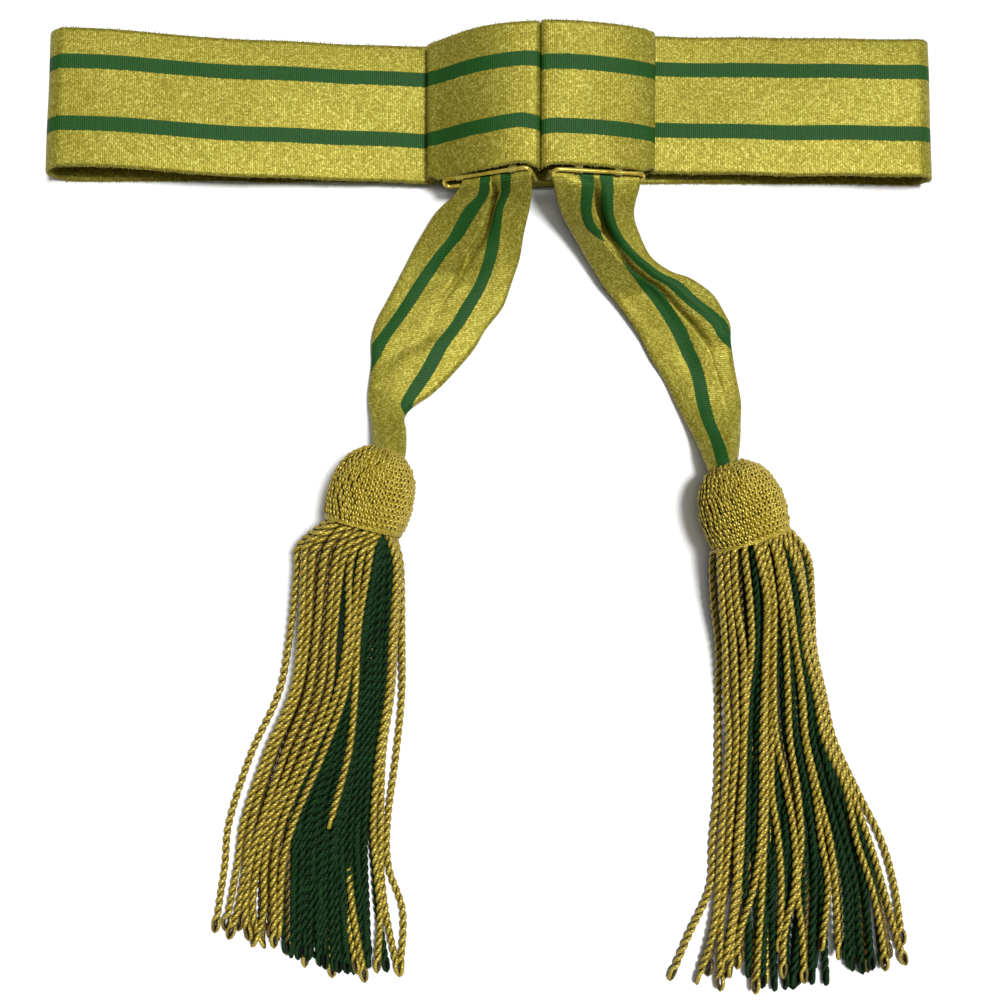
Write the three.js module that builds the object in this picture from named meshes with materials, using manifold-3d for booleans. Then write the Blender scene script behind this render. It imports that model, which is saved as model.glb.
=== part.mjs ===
// A waist sash of striped lace lying flat on a table, seen from above with +Y up the page.
// Millimetres, table at z = 0. The coordinates in the tables are measured from the point
// below the middle of the picture; the whole sash is then moved to stand over its own middle.
import * as THREE from 'three';
import { mergeVertices } from 'three/addons/utils/BufferGeometryUtils.js';
import Module from 'manifold-3d';

const wasm = await Module();
wasm.setup();

// Driving sizes
const LACE = 1.4; // thickness of the lace
const LACE_WIDTH = 70;
const GAP = 0.4; // air left between two pieces that touch
const WIRE_RADIUS = 0.8;
const RING_LENGTH = 48;
const RING_WIDTH = 7.2;
const HEAD_LENGTH = 42;
const SKIRT_COLUMNS = 7; // locks side by side in each of the two layers of a skirt
const MIDDLE = { x: -5.68, y: -7.03 }; // middle of the sash's box

const COLOURS = {
  lace: { color: 0xa8983c, roughness: 0.5, metalness: 0.45 },
  brass: { color: 0xc9a24a, roughness: 0.25, metalness: 1.0 },
  steel: { color: 0x8d8a84, roughness: 0.4, metalness: 0.9 },
  head: { color: 0xb08c34, roughness: 0.6, metalness: 0.3 },
  cord: { color: 0xa8862f, roughness: 0.6, metalness: 0.3 },
};

function mesh(name, geometry, colour) {
  geometry.computeVertexNormals();
  const piece = new THREE.Mesh(geometry, new THREE.MeshStandardMaterial(COLOURS[colour]));
  piece.name = name;
  return piece;
}

function indexed(points, faces) {
  const geometry = new THREE.BufferGeometry();
  const flat = points.flatMap((p) => [p.x, p.y, p.z]);
  geometry.setAttribute('position', new THREE.Float32BufferAttribute(flat, 3));
  geometry.setIndex(faces.flat());
  return geometry;
}

// A closed solid of even thickness round a grid of points on its middle surface.
// The front of the sheet is on the side that (along a row) x (from row to row) points to.
// A tube has its last row joined to its first.
function sheet(grid, tube = false) {
  const rows = grid.length;
  const columns = grid[0].length;
  const row = (i) => (tube ? (i + rows) % rows : Math.min(Math.max(i, 0), rows - 1));
  const column = (j) => Math.min(Math.max(j, 0), columns - 1);
  const front = [];
  const back = [];
  for (let i = 0; i < rows; i += 1) {
    for (let j = 0; j < columns; j += 1) {
      const across = grid[i][column(j + 1)].clone().sub(grid[i][column(j - 1)]);
      const along = grid[row(i + 1)][j].clone().sub(grid[row(i - 1)][j]);
      const normal = across.cross(along).normalize().multiplyScalar(LACE / 2);
      front.push(grid[i][j].clone().add(normal));
      back.push(grid[i][j].clone().sub(normal));
    }
  }
  const shift = rows * columns;
  const at = (i, j) => row(i) * columns + j;
  const faces = [];
  const quad = (a, b, c, d) => faces.push([a, b, c], [a, c, d]);
  const last = tube ? rows : rows - 1;
  for (let i = 0; i < last; i += 1) {
    for (let j = 0; j < columns - 1; j += 1) {
      const [a, b, c, d] = [at(i, j), at(i, j + 1), at(i + 1, j + 1), at(i + 1, j)];
      quad(a, b, c, d);
      quad(a + shift, d + shift, c + shift, b + shift);
    }
    const [a, b] = [at(i, 0), at(i + 1, 0)];
    quad(a, b, b + shift, a + shift);
    const [c, d] = [at(i, columns - 1), at(i + 1, columns - 1)];
    quad(c, c + shift, d + shift, d);
  }
  if (!tube) {
    for (let j = 0; j < columns - 1; j += 1) {
      const [a, b] = [at(0, j), at(0, j + 1)];
      quad(a, a + shift, b + shift, b);
      const [c, d] = [at(rows - 1, j), at(rows - 1, j + 1)];
      quad(c, d, d + shift, c + shift);
    }
  }
  return indexed([...front, ...back], faces);
}

// Points of a smooth line through the given ones
function smooth(points, count, closed = false) {
  const curve = new THREE.CatmullRomCurve3(points, closed, 'centripetal');
  const samples = curve.getPoints(count);
  return closed ? samples.slice(0, -1) : samples;
}

const mix = (a, b, t) => a + (b - a) * t;

// Waist band: from the end under the bow to the right fold, back along the table to the left
// fold and over the top to the other end under the bow.
const RIGHT_FOLD = { x: 212, radius: 9.3 };
const LEFT_FOLD = { x: -222, radius: 10.3 };
const RIGHT_RUN = [ // x, height of the middle surface
  [-10, 11.8], [40, 11.8], [85, 12.6], [130, 14.8], [170, 17.2], [200, 18.9],
];
const TABLE_RUN = [150, 75, 0, -75, -150];
const LEFT_RUN = [[-190, 20.4], [-150, 17.6], [-110, 14.0], [-75, 10.6], [-45, 8.6], [-15, 8.0], [35, 8.0]];
const FOLD_STEPS = 8;
const rightRunMiddle = (x) => 203.5 - 0.0264 * (x - 83);
const leftRunMiddle = (x) => 204.3 - 0.023 * (x + 230);
const tableRunMiddle = (x) => 202.5 - 0.0048 * (x + 225);
// The folds are not quite square to the run: how far x moves for each mm across the lace
const bandSlant = (x) => mix(0.04, -0.03, (x + 230) / 450);

function bandRow(x, z, middle) {
  return [-0.5, 0, 0.5].map((part) => {
    const across = part * LACE_WIDTH;
    return new THREE.Vector3(x + bandSlant(x) * across, middle + across, z);
  });
}

function waistBand() {
  const rows = RIGHT_RUN.map(([x, z]) => bandRow(x, z, rightRunMiddle(x)));
  const foldRows = (fold, side, from, to) => {
    for (let k = 0; k <= FOLD_STEPS; k += 1) {
      const angle = (Math.PI * k) / FOLD_STEPS;
      const up = side > 0 ? Math.cos(angle) : -Math.cos(angle);
      const x = fold.x + side * fold.radius * Math.sin(angle);
      const z = LACE / 2 + fold.radius * (1 + up);
      rows.push(bandRow(x, z, mix(from, to, k / FOLD_STEPS)));
    }
  };
  foldRows(RIGHT_FOLD, 1, rightRunMiddle(RIGHT_FOLD.x), tableRunMiddle(RIGHT_FOLD.x));
  TABLE_RUN.forEach((x) => rows.push(bandRow(x, LACE / 2, tableRunMiddle(x))));
  foldRows(LEFT_FOLD, -1, tableRunMiddle(LEFT_FOLD.x), leftRunMiddle(LEFT_FOLD.x));
  LEFT_RUN.forEach(([x, z]) => rows.push(bandRow(x, z, leftRunMiddle(x))));
  return sheet(rows);
}

// Flat hook plate between the two ends of the band
const CLASP = { x: 12, y: 202, length: 30, width: 26, bottom: 9.1, thickness: 1.6 };

function waistClasp() {
  const geometry = new THREE.BoxGeometry(CLASP.length, CLASP.width, CLASP.thickness);
  geometry.translate(CLASP.x, CLASP.y, CLASP.bottom + CLASP.thickness / 2);
  return geometry;
}

// Bow loops: the outline of each loop seen from its open lower end, as x and height
const LEFT_LOOP = [
  [18.8, 28], [18.7, 20], [17.9, 15.0], [15, 13.6], [0, 13.6], [-12, 13.2], [-26, 11.9], [-33, 12.1],
  [-36.6, 14.0], [-36.2, 17.2], [-31, 20.8], [-25, 26], [-16.5, 33], [-7, 38.4], [2.6, 41.0], [11, 41.6],
  [16.4, 40.0], [18.4, 36],
];
const RIGHT_LOOP = [
  [21.8, 36], [23.8, 40.0], [31, 41.6], [40.4, 41.0], [49.9, 39.2], [59.6, 36.5], [69, 32.9], [75.4, 29.6],
  [77.8, 26.2], [77.4, 21.5], [74, 17.0], [66, 14.5], [50, 13.7], [30, 13.6], [25, 13.6], [22.1, 15.0],
  [21.3, 20], [21.2, 28],
];
const LOOP_EDGES = { // y of the lower and upper edges of each loop at its outer side and at the seam
  left: { outer: -37, seam: 20, lower: [165.2, 164.4], upper: [233.4, 236.4] },
  right: { outer: 77, seam: 20, lower: [164.4, 164.8], upper: [235.8, 236.8] },
};
const LOOP_STEPS = 56;
const LOOP_COLUMNS = 4;

function bowLoop(outline, edges) {
  const points = outline.map(([x, z]) => new THREE.Vector3(x, 0, z));
  const rows = smooth(points, LOOP_STEPS, true).map((p) => {
    const part = (p.x - edges.outer) / (edges.seam - edges.outer);
    const lower = mix(...edges.lower, part);
    const upper = mix(...edges.upper, part);
    return Array.from({ length: LOOP_COLUMNS + 1 }, (_, j) =>
      new THREE.Vector3(p.x, mix(lower, upper, j / LOOP_COLUMNS), p.z));
  });
  return sheet(rows, true);
}

// Wire rings: the middle of the upper bar's two ends, and the way to the lower bar
const RINGS = {
  left: { from: [-30.5, 162.0, 18.6], to: [15.4, 162.6, 36.6], down: [0, -0.64, -0.77] },
  right: { from: [26.5, 162.4, 39.6], to: [72.9, 162.2, 29.6], down: [0, -0.64, -0.77] },
};
const RING_END_STEPS = 8;
const WIRE_SIDES = 8;

function ringFrame(ring) {
  const from = new THREE.Vector3(...ring.from);
  const to = new THREE.Vector3(...ring.to);
  const along = to.clone().sub(from).normalize();
  const down = new THREE.Vector3(...ring.down);
  down.addScaledVector(along, -down.dot(along)).normalize();
  const face = along.clone().cross(down).normalize().negate();
  const upperBar = from.clone().add(to).multiplyScalar(0.5);
  const spacing = RING_WIDTH - 2 * WIRE_RADIUS;
  const lowerBar = upperBar.clone().addScaledVector(down, spacing);
  const centre = upperBar.clone().addScaledVector(down, spacing / 2);
  return { along, down, face, lowerBar, centre, spacing };
}

function wireRing(ring) {
  const { along, down, face, centre, spacing } = ringFrame(ring);
  const bend = spacing / 2;
  const straight = RING_LENGTH / 2 - WIRE_RADIUS - bend;
  const path = [];
  [1, -1].forEach((side) => {
    for (let k = 0; k <= RING_END_STEPS; k += 1) {
      const angle = (Math.PI * k) / RING_END_STEPS;
      path.push([side * (straight + bend * Math.sin(angle)), -side * bend * Math.cos(angle)]);
    }
    path.push([0, side * bend]);
  });
  const middle = path.map(([a, b]) => centre.clone().addScaledVector(along, a).addScaledVector(down, b));
  const points = [];
  const faces = [];
  const count = middle.length;
  middle.forEach((p, i) => {
    const direction = middle[(i + 1) % count].clone().sub(middle[(i + count - 1) % count]).normalize();
    const side = direction.clone().cross(face).normalize();
    for (let k = 0; k < WIRE_SIDES; k += 1) {
      const angle = (2 * Math.PI * k) / WIRE_SIDES;
      points.push(p.clone().addScaledVector(face, WIRE_RADIUS * Math.cos(angle))
        .addScaledVector(side, WIRE_RADIUS * Math.sin(angle)));
      const [a, b] = [i * WIRE_SIDES + k, i * WIRE_SIDES + ((k + 1) % WIRE_SIDES)];
      const [c, d] = [((i + 1) % count) * WIRE_SIDES + ((k + 1) % WIRE_SIDES), ((i + 1) % count) * WIRE_SIDES + k];
      faces.push([a, c, b], [a, d, c]);
    }
  });
  return outward(indexed(points, faces));
}

// Turns a closed body's faces to look outward
function outward(geometry) {
  const position = geometry.getAttribute('position');
  const order = geometry.getIndex().array;
  const [a, b, c] = [new THREE.Vector3(), new THREE.Vector3(), new THREE.Vector3()];
  let volume = 0;
  for (let i = 0; i < order.length; i += 3) {
    a.fromBufferAttribute(position, order[i]);
    b.fromBufferAttribute(position, order[i + 1]);
    c.fromBufferAttribute(position, order[i + 2]);
    volume += a.dot(b.cross(c));
  }
  if (volume < 0) {
    for (let i = 0; i < order.length; i += 3) [order[i + 1], order[i + 2]] = [order[i + 2], order[i + 1]];
  }
  return geometry;
}

// Tails. Each row gives the two outer edges of the lace as seen from above with their heights,
// then where across the row (0 to 1) a fold stands up and by how much, where a valley lies and how
// deep, and how far the two edges curl down.
const LEFT_TAIL = {
  barPart: [0.10, 0.96],
  rows: [
    { left: [-32, 150.5, 15], right: [15.5, 149.5, 29], fold: [0.55, 4], valley: [0.68, 2], curl: 1 },
    { left: [-42.5, 137.5, 9], right: [10, 128, 17], fold: [0.63, 4], valley: [0.74, 2], curl: 2 },
    { left: [-53.5, 122, 6], right: [2, 108, 9], fold: [0.70, 2], valley: [0.8, 1], curl: 2 },
    { left: [-62.5, 103.5, 4], right: [-9, 89, 5], fold: [0.6, 1.5], valley: [0.8, 0], curl: 2 },
    { left: [-67, 86, 4], right: [-20, 73, 4], fold: [0.55, 2], valley: [0.4, 0.5], curl: 2.2 },
    { left: [-67.5, 66.5, 5], right: [-33, 59, 5], fold: [0.5, 2.5], valley: [0.4, 0.5], curl: 3 },
    { left: [-68.5, 53.5, 7], right: [-44.5, 50, 7], fold: [0.5, 4], valley: [0.4, 0], curl: 4 },
    { left: [-67, 44, 11], right: [-49.5, 43, 11], fold: [0.5, 5], valley: [0.4, 0], curl: 5 },
    { left: [-65, 34, 16], right: [-48, 34, 16], fold: [0.5, 6], valley: [0.4, 0], curl: 5 },
    { left: [-64.5, 24.5, 20], right: [-48.5, 22.5, 20], fold: [0.5, 7], valley: [0.4, 0], curl: 5 },
  ],
};
const RIGHT_TAIL = {
  barPart: [0.06, 0.92],
  rows: [
    { left: [28.5, 150.5, 31], right: [68, 151.5, 25], fold: [0.34, 3], valley: [0.49, 3], curl: 1 },
    { left: [32.5, 140.5, 25], right: [67.5, 141.5, 21], fold: [0.3, 4], valley: [0.52, 3.5], curl: 2 },
    { left: [38, 130.5, 19], right: [72, 135, 17], fold: [0.35, 5], valley: [0.56, 3.5], curl: 2 },
    { left: [51.5, 115.5, 14], right: [81.5, 122.5, 13], fold: [0.4, 5], valley: [0.58, 3], curl: 2 },
    { left: [64.5, 98, 10], right: [96, 113.5, 10], fold: [0.42, 4], valley: [0.6, 3], curl: 2 },
    { left: [75.5, 82.5, 7], right: [118.5, 94.5, 6], fold: [0.4, 3], valley: [0.6, 2], curl: 2 },
    { left: [85.5, 66, 6], right: [123, 68.5, 5], fold: [0.5, 3], valley: [0.76, 1.5], curl: 2 },
    { left: [95.5, 47.5, 9], right: [125, 49.5, 8], fold: [0.5, 3.5], valley: [0.8, 0.5], curl: 4 },
    { left: [103, 32, 14], right: [124, 33, 14], fold: [0.5, 5], valley: [0.4, 0], curl: 5 },
    { left: [106.5, 18, 19], right: [126, 14.5, 19], fold: [0.5, 7], valley: [0.4, 0], curl: 5 },
  ],
};
const TAIL_COLUMNS = 16;
const TAIL_STEPS = 30;
const HEM = 7; // length of lace turned under behind the ring
const bump = (offset, width) => Math.exp(-((offset / width) ** 2));

function tail(rows, barPart, ring, head) {
  const { along, down, face, lowerBar } = ringFrame(ring);
  const start = (part) => (part - 0.5) * RING_LENGTH;
  const round = WIRE_RADIUS + 2 * GAP + LACE / 2;
  // Round the lower bar of the ring: hem behind it, then over it to the front
  const wrap = [[HEM, -90], [HEM / 2, -90], [0, -90], [0, -45], [0, 0], [0, 45], [0, 90]];
  const grid = wrap.map(([hem, degrees]) => {
    const angle = THREE.MathUtils.degToRad(degrees);
    return Array.from({ length: TAIL_COLUMNS + 1 }, (_, j) => {
      const part = mix(start(barPart[0]), start(barPart[1]), j / TAIL_COLUMNS);
      return lowerBar.clone().addScaledVector(along, part)
        .addScaledVector(down, hem - round * Math.cos(angle))
        .addScaledVector(face, round * Math.sin(angle));
    });
  });
  const keyRows = [grid[grid.length - 1]];
  rows.forEach(({ left, right, fold, valley, curl }) => {
    keyRows.push(Array.from({ length: TAIL_COLUMNS + 1 }, (_, j) => {
      const part = j / TAIL_COLUMNS;
      const p = new THREE.Vector3(...left).lerp(new THREE.Vector3(...right), part);
      p.z += fold[1] * bump(part - fold[0], 0.22) - valley[1] * bump(part - valley[0], 0.09)
        - curl * Math.abs(2 * part - 1) ** 4;
      p.z = Math.max(p.z, LACE / 2 + 0.2);
      return p;
    }));
  });
  // Smooth lines down the tail, one for each column
  const lines = Array.from({ length: TAIL_COLUMNS + 1 }, (_, j) =>
    smooth(keyRows.map((points) => points[j]), TAIL_STEPS));
  for (let i = 1; i <= TAIL_STEPS; i += 1) grid.push(lines.map((line) => line[i]));
  return cut(outward(sheet(grid)), head);
}

// Tassel heads: egg-shaped bodies lying on the table, the narrow end towards the tail.
// The profile runs along the axis as distance from the narrow end and radius.
const HEAD_RADIUS = 22.3;
const HEAD_PROFILE = [
  [0, 6.2], [1.0, 8.8], [4, 13.6], [8.5, 18.0], [14, 21.0], [20, 22.3], [27, 22.2], [34, 21.2], [39, 19.9],
  [42, 19.0],
];
const HEADS = { // middle of the head, and the way it points in degrees from straight down the page
  left: { x: -66.0, y: 6.6, turn: -15.3 },
  right: { x: 124.2, y: -0.6, turn: 18.5 },
};
const HEAD_SIDES = 28;

function headBody({ x, y, turn }, grow = 0) {
  const profile = HEAD_PROFILE.map(([a, r]) => new THREE.Vector2(r + grow, HEAD_LENGTH / 2 - a));
  profile[0].y += grow;
  profile[profile.length - 1].y -= grow;
  profile.unshift(new THREE.Vector2(0, HEAD_LENGTH / 2 + grow));
  profile.push(new THREE.Vector2(0, -HEAD_LENGTH / 2 - grow));
  const geometry = new THREE.LatheGeometry(profile.reverse(), HEAD_SIDES);
  geometry.rotateZ(THREE.MathUtils.degToRad(turn));
  geometry.translate(x, y, HEAD_RADIUS);
  return geometry;
}

// Booleans
function solid(geometry) {
  const bare = geometry.clone();
  bare.deleteAttribute('normal');
  bare.deleteAttribute('uv');
  const merged = mergeVertices(bare, 1e-4);
  const vertProperties = new Float32Array(merged.getAttribute('position').array);
  const triVerts = new Uint32Array(merged.getIndex().array);
  return new wasm.Manifold(new wasm.Mesh({ numProp: 3, vertProperties, triVerts }));
}

function fromSolid(body) {
  const { vertProperties, triVerts } = body.getMesh();
  const geometry = new THREE.BufferGeometry();
  geometry.setAttribute('position', new THREE.BufferAttribute(new Float32Array(vertProperties), 3));
  geometry.setIndex(Array.from(triVerts));
  return geometry;
}

function cut(geometry, head) {
  return fromSolid(solid(geometry).subtract(solid(headBody(head, GAP))));
}

// Tassel skirts. Stations down the skirt: the left and right outlines seen from above and the
// height of the top cords.
const LEFT_SKIRT = [
  { left: [-88, -12], right: [-54, -21], top: 40 },
  { left: [-97, -20], right: [-49.5, -31], top: 38.5 },
  { left: [-103.5, -34], right: [-48, -43], top: 34 },
  { left: [-106.5, -56], right: [-47, -62], top: 28 },
  { left: [-110.5, -82], right: [-47.5, -84], top: 22 },
  { left: [-117.5, -105], right: [-49.5, -112], top: 17 },
  { left: [-128, -130], right: [-52.5, -138], top: 13.5 },
  { left: [-139, -157], right: [-55, -160], top: 11 },
  { left: [-144.5, -183], right: [-55.5, -186], top: 9.5 },
  { left: [-148, -205], right: [-52.5, -208], top: 8.6 },
  { left: [-149.5, -222], right: [-49.5, -226], top: 8 },
];
const RIGHT_SKIRT = [
  { left: [112.5, -27], right: [146.5, -16], top: 40 },
  { left: [110.5, -38], right: [155, -24], top: 38.5 },
  { left: [110.5, -52], right: [160.5, -37], top: 34 },
  { left: [111.5, -72], right: [161.5, -58], top: 28 },
  { left: [112, -92], right: [164, -80], top: 22 },
  { left: [111.5, -116], right: [171, -107], top: 17 },
  { left: [111, -142], right: [181, -140], top: 13.5 },
  { left: [109, -170], right: [194, -168], top: 11 },
  { left: [106, -196], right: [203.5, -194], top: 9.5 },
  { left: [100, -220], right: [211, -218], top: 8.6 },
  { left: [91, -240], right: [216, -235], top: 8 },
];
// How much longer or shorter each lock is than the outline's end, from left to right
const LEFT_ENDS = { upper: [1, 5, 8, 12, 22, 26, 19], lower: [-2, 2, 4, 8, 16, 20, 14] };
const RIGHT_ENDS = { upper: [8, 14, 16, 16, 10, 8, 3], lower: [2, 8, 11, 8, 2, 4, -2] };
const LOCK_SIDES = 6;
const LOCK_THICKNESS = 7;
const LOCK_REST = (LOCK_THICKNESS / 2) * Math.sin(Math.PI / 3); // height of the middle of a six-sided lock lying flat
const CORE = [[0, 18.2], [12, 18.6], [32, 13], [56, 7]]; // distance below the head and radius
const CORE_LENGTH = 60;
const CORE_FALL = 10; // degrees
// The bundle under the locks: how many stations it passes, how wide it is against the skirt, how far
// it stays under the top and how far above the table
const BUNDLE = { stations: 8, width: 0.88, cover: 3, clearance: 0.6 };

function lock(points, widths, heights) {
  const vertices = [];
  const faces = [];
  const count = points.length;
  points.forEach((p, i) => {
    const direction = points[Math.min(i + 1, count - 1)].clone().sub(points[Math.max(i - 1, 0)]);
    const side = new THREE.Vector3(-direction.y, direction.x, 0).normalize();
    for (let k = 0; k < LOCK_SIDES; k += 1) {
      const angle = (2 * Math.PI * k) / LOCK_SIDES;
      vertices.push(p.clone().addScaledVector(side, (widths[i] / 2) * Math.cos(angle))
        .add(new THREE.Vector3(0, 0, (heights[i] / 2) * Math.sin(angle))));
      if (i < count - 1) {
        const [a, b] = [i * LOCK_SIDES + k, i * LOCK_SIDES + ((k + 1) % LOCK_SIDES)];
        faces.push([a, b, b + LOCK_SIDES], [a, b + LOCK_SIDES, a + LOCK_SIDES]);
      }
    }
  });
  const end = (count - 1) * LOCK_SIDES;
  for (let k = 1; k < LOCK_SIDES - 1; k += 1) {
    faces.push([0, k + 1, k], [end, end + k, end + k + 1]);
  }
  return outward(indexed(vertices, faces));
}

function bundle(stations) {
  const points = [];
  const widths = [];
  const heights = [];
  stations.slice(0, BUNDLE.stations).forEach(({ left, right, top }) => {
    const height = top - BUNDLE.cover - BUNDLE.clearance;
    const middle = new THREE.Vector3(...left, 0).lerp(new THREE.Vector3(...right, 0), 0.5);
    middle.z = BUNDLE.clearance + height / 2;
    points.push(middle);
    widths.push(Math.hypot(right[0] - left[0], right[1] - left[1]) * BUNDLE.width);
    heights.push(height / Math.sin(Math.PI / 3));
  });
  return lock(points, widths, heights);
}

function skirt(stations, ends, head) {
  const turn = THREE.MathUtils.degToRad(head.turn);
  const axis = new THREE.Vector3(Math.sin(turn), -Math.cos(turn), 0);
  const mouth = new THREE.Vector3(head.x, head.y, HEAD_RADIUS)
    .addScaledVector(axis, HEAD_LENGTH / 2 + GAP);
  const profile = CORE.map(([a, r]) => new THREE.Vector2(r, -a));
  profile.unshift(new THREE.Vector2(0, 0));
  profile.push(new THREE.Vector2(0, -CORE_LENGTH));
  const core = new THREE.LatheGeometry(profile.reverse(), 14);
  core.rotateX(THREE.MathUtils.degToRad(CORE_FALL));
  core.rotateZ(turn);
  core.translate(mouth.x, mouth.y, mouth.z);
  let body = solid(outward(mergedCopy(core))).add(solid(bundle(stations)));
  ['upper', 'lower'].forEach((layer) => {
    for (let n = 0; n < SKIRT_COLUMNS; n += 1) {
      const part = (n + (layer === 'upper' ? 0.5 : 0.62)) / (SKIRT_COLUMNS + (layer === 'upper' ? 0 : 0.24));
      const points = [];
      const widths = [];
      const heights = [];
      stations.forEach(({ left, right, top }, i) => {
        const p = new THREE.Vector3(...left, 0).lerp(new THREE.Vector3(...right, 0), part);
        const across = 2 * part - 1;
        const drop = (1 - Math.sqrt(Math.max(0, 1 - across * across * 0.9))) * (top - LOCK_THICKNESS) * 0.75;
        p.z = layer === 'upper' ? top - LOCK_THICKNESS / 2 - drop : LOCK_REST;
        if (layer === 'lower' && i < 2) p.z += [9, 3][i];
        const span = Math.hypot(right[0] - left[0], right[1] - left[1]);
        points.push(p);
        widths.push((span / SKIRT_COLUMNS) * 1.04);
        heights.push(LOCK_THICKNESS * (i < 2 ? 0.9 : 1));
      });
      const last = points[points.length - 1];
      const before = points[points.length - 2];
      const way = last.clone().sub(before).normalize();
      last.addScaledVector(way, ends[layer][n]);
      if (ends[layer][n] < -14) before.addScaledVector(way, ends[layer][n] * 0.6);
      heights[heights.length - 1] *= 0.75;
      widths[widths.length - 1] *= 0.6;
      last.z = Math.max(last.z * 0.9, (heights[heights.length - 1] / LOCK_THICKNESS) * LOCK_REST);
      body = body.add(solid(lock(points, widths, heights)));
    }
  });
  const beyondMouth = mouth.x * axis.x + mouth.y * axis.y;
  const trimmed = body.trimByPlane([axis.x, axis.y, 0], beyondMouth).trimByPlane([0, 0, 1], 0);
  return fromSolid(withoutPockets(trimmed));
}

// Fills pockets of air that the union closed in
function withoutPockets(body) {
  const shells = body.decompose().filter((shell) => shell.volume() > 0);
  return shells.reduce((whole, shell) => whole.add(shell));
}

function mergedCopy(geometry) {
  geometry.deleteAttribute('normal');
  geometry.deleteAttribute('uv');
  return mergeVertices(geometry, 1e-4);
}

const sash = new THREE.Group();
sash.name = 'waist_sash';
sash.add(
  mesh('waist_band', outward(waistBand()), 'lace'),
  mesh('waist_clasp', waistClasp(), 'steel'),
  mesh('bow_loop_left', outward(bowLoop(LEFT_LOOP, LOOP_EDGES.left)), 'lace'),
  mesh('bow_loop_right', outward(bowLoop(RIGHT_LOOP, LOOP_EDGES.right)), 'lace'),
  mesh('wire_ring_left', wireRing(RINGS.left), 'brass'),
  mesh('wire_ring_right', wireRing(RINGS.right), 'brass'),
  mesh('tail_left', tail(LEFT_TAIL.rows, LEFT_TAIL.barPart, RINGS.left, HEADS.left), 'lace'),
  mesh('tail_right', tail(RIGHT_TAIL.rows, RIGHT_TAIL.barPart, RINGS.right, HEADS.right), 'lace'),
  mesh('tassel_head_left', outward(mergedCopy(headBody(HEADS.left))), 'head'),
  mesh('tassel_head_right', outward(mergedCopy(headBody(HEADS.right))), 'head'),
  mesh('tassel_skirt_left', skirt(LEFT_SKIRT, LEFT_ENDS, HEADS.left), 'cord'),
  mesh('tassel_skirt_right', skirt(RIGHT_SKIRT, RIGHT_ENDS, HEADS.right), 'cord'),
);
sash.position.set(-MIDDLE.x, -MIDDLE.y, 0);

export default sash;
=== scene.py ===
"""A waist sash of striped metallic lace with a bow and two cord tassels, laid flat and seen from above."""
import math

import bpy
import numpy as np
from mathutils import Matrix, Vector


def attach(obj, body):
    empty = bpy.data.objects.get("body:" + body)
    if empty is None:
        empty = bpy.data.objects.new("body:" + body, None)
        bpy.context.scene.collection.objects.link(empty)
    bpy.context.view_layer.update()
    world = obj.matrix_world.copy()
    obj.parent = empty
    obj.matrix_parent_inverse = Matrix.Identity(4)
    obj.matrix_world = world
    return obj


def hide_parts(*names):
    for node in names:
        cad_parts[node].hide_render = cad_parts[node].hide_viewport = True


# All sizes and tables are in millimetres, in the axes of the part, from the point straight under the camera
MM = 0.001
ORIGIN = np.array([5.68, 7.03, 0.0])  # where that point is in the part's frame
CAMERA_HEIGHT = 700.0
VIEW_WIDTH = 524.5  # of table that the picture spans
LACE_WIDTH = 70.0
LACE_THICKNESS = 1.1
RIB_PITCH = 1.05
SELVEDGE_PITCH = 1.3
STRIPE_INNER, STRIPE_OUTER = 12.0, 19.5  # from the middle of the lace to the green stripes' edges
SEEDS = {  # of everything uneven
    "band_edge": 5, "band_width": 8, "band_wave": 11, "band_selvedge": 3, "tail_wave": 31, "tail_selvedge": 9,
    "left_loop": 21, "right_loop": 22, "left_loop_selvedge": 5, "right_loop_selvedge": 6,
    "left_head": 40, "right_head": 41, "left_skirt": 60, "right_skirt": 61,
}

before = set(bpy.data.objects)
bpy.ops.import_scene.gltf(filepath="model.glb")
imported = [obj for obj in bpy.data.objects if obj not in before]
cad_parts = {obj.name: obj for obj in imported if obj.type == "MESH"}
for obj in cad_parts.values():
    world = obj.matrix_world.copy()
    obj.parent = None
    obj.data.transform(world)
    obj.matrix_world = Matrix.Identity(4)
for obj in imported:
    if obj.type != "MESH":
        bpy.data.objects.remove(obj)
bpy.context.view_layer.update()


# Meshes
def quad_mesh(name, points, quads, material, **uv_layers):
    """A mesh of quads, in which one with its last corner repeated is a triangle. uv_layers are by point."""
    triangle = quads[:, 2] == quads[:, 3]
    fours, threes = quads[~triangle].ravel(), quads[triangle][:, :3].ravel()
    starts = np.concatenate([np.arange(0, fours.size, 4), fours.size + np.arange(0, threes.size, 3)])
    loops = np.concatenate([fours, threes]).astype(np.int32)
    mesh = bpy.data.meshes.new(name)
    mesh.vertices.add(len(points))
    mesh.vertices.foreach_set("co", ((points + ORIGIN) * MM).astype(np.float32).ravel())
    mesh.loops.add(loops.size)
    mesh.loops.foreach_set("vertex_index", loops)
    mesh.polygons.add(len(starts))
    mesh.polygons.foreach_set("loop_start", starts.astype(np.int32))
    mesh.polygons.foreach_set("use_smooth", np.ones(len(starts), dtype=bool))
    mesh.update(calc_edges=True)
    for layer_name, values in uv_layers.items():
        layer = mesh.uv_layers.new(name=layer_name)
        layer.data.foreach_set("uv", values[loops].astype(np.float32).ravel())
    mesh.materials.append(material)
    piece = bpy.data.objects.new(name, mesh)
    bpy.context.scene.collection.objects.link(piece)
    return piece


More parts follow.
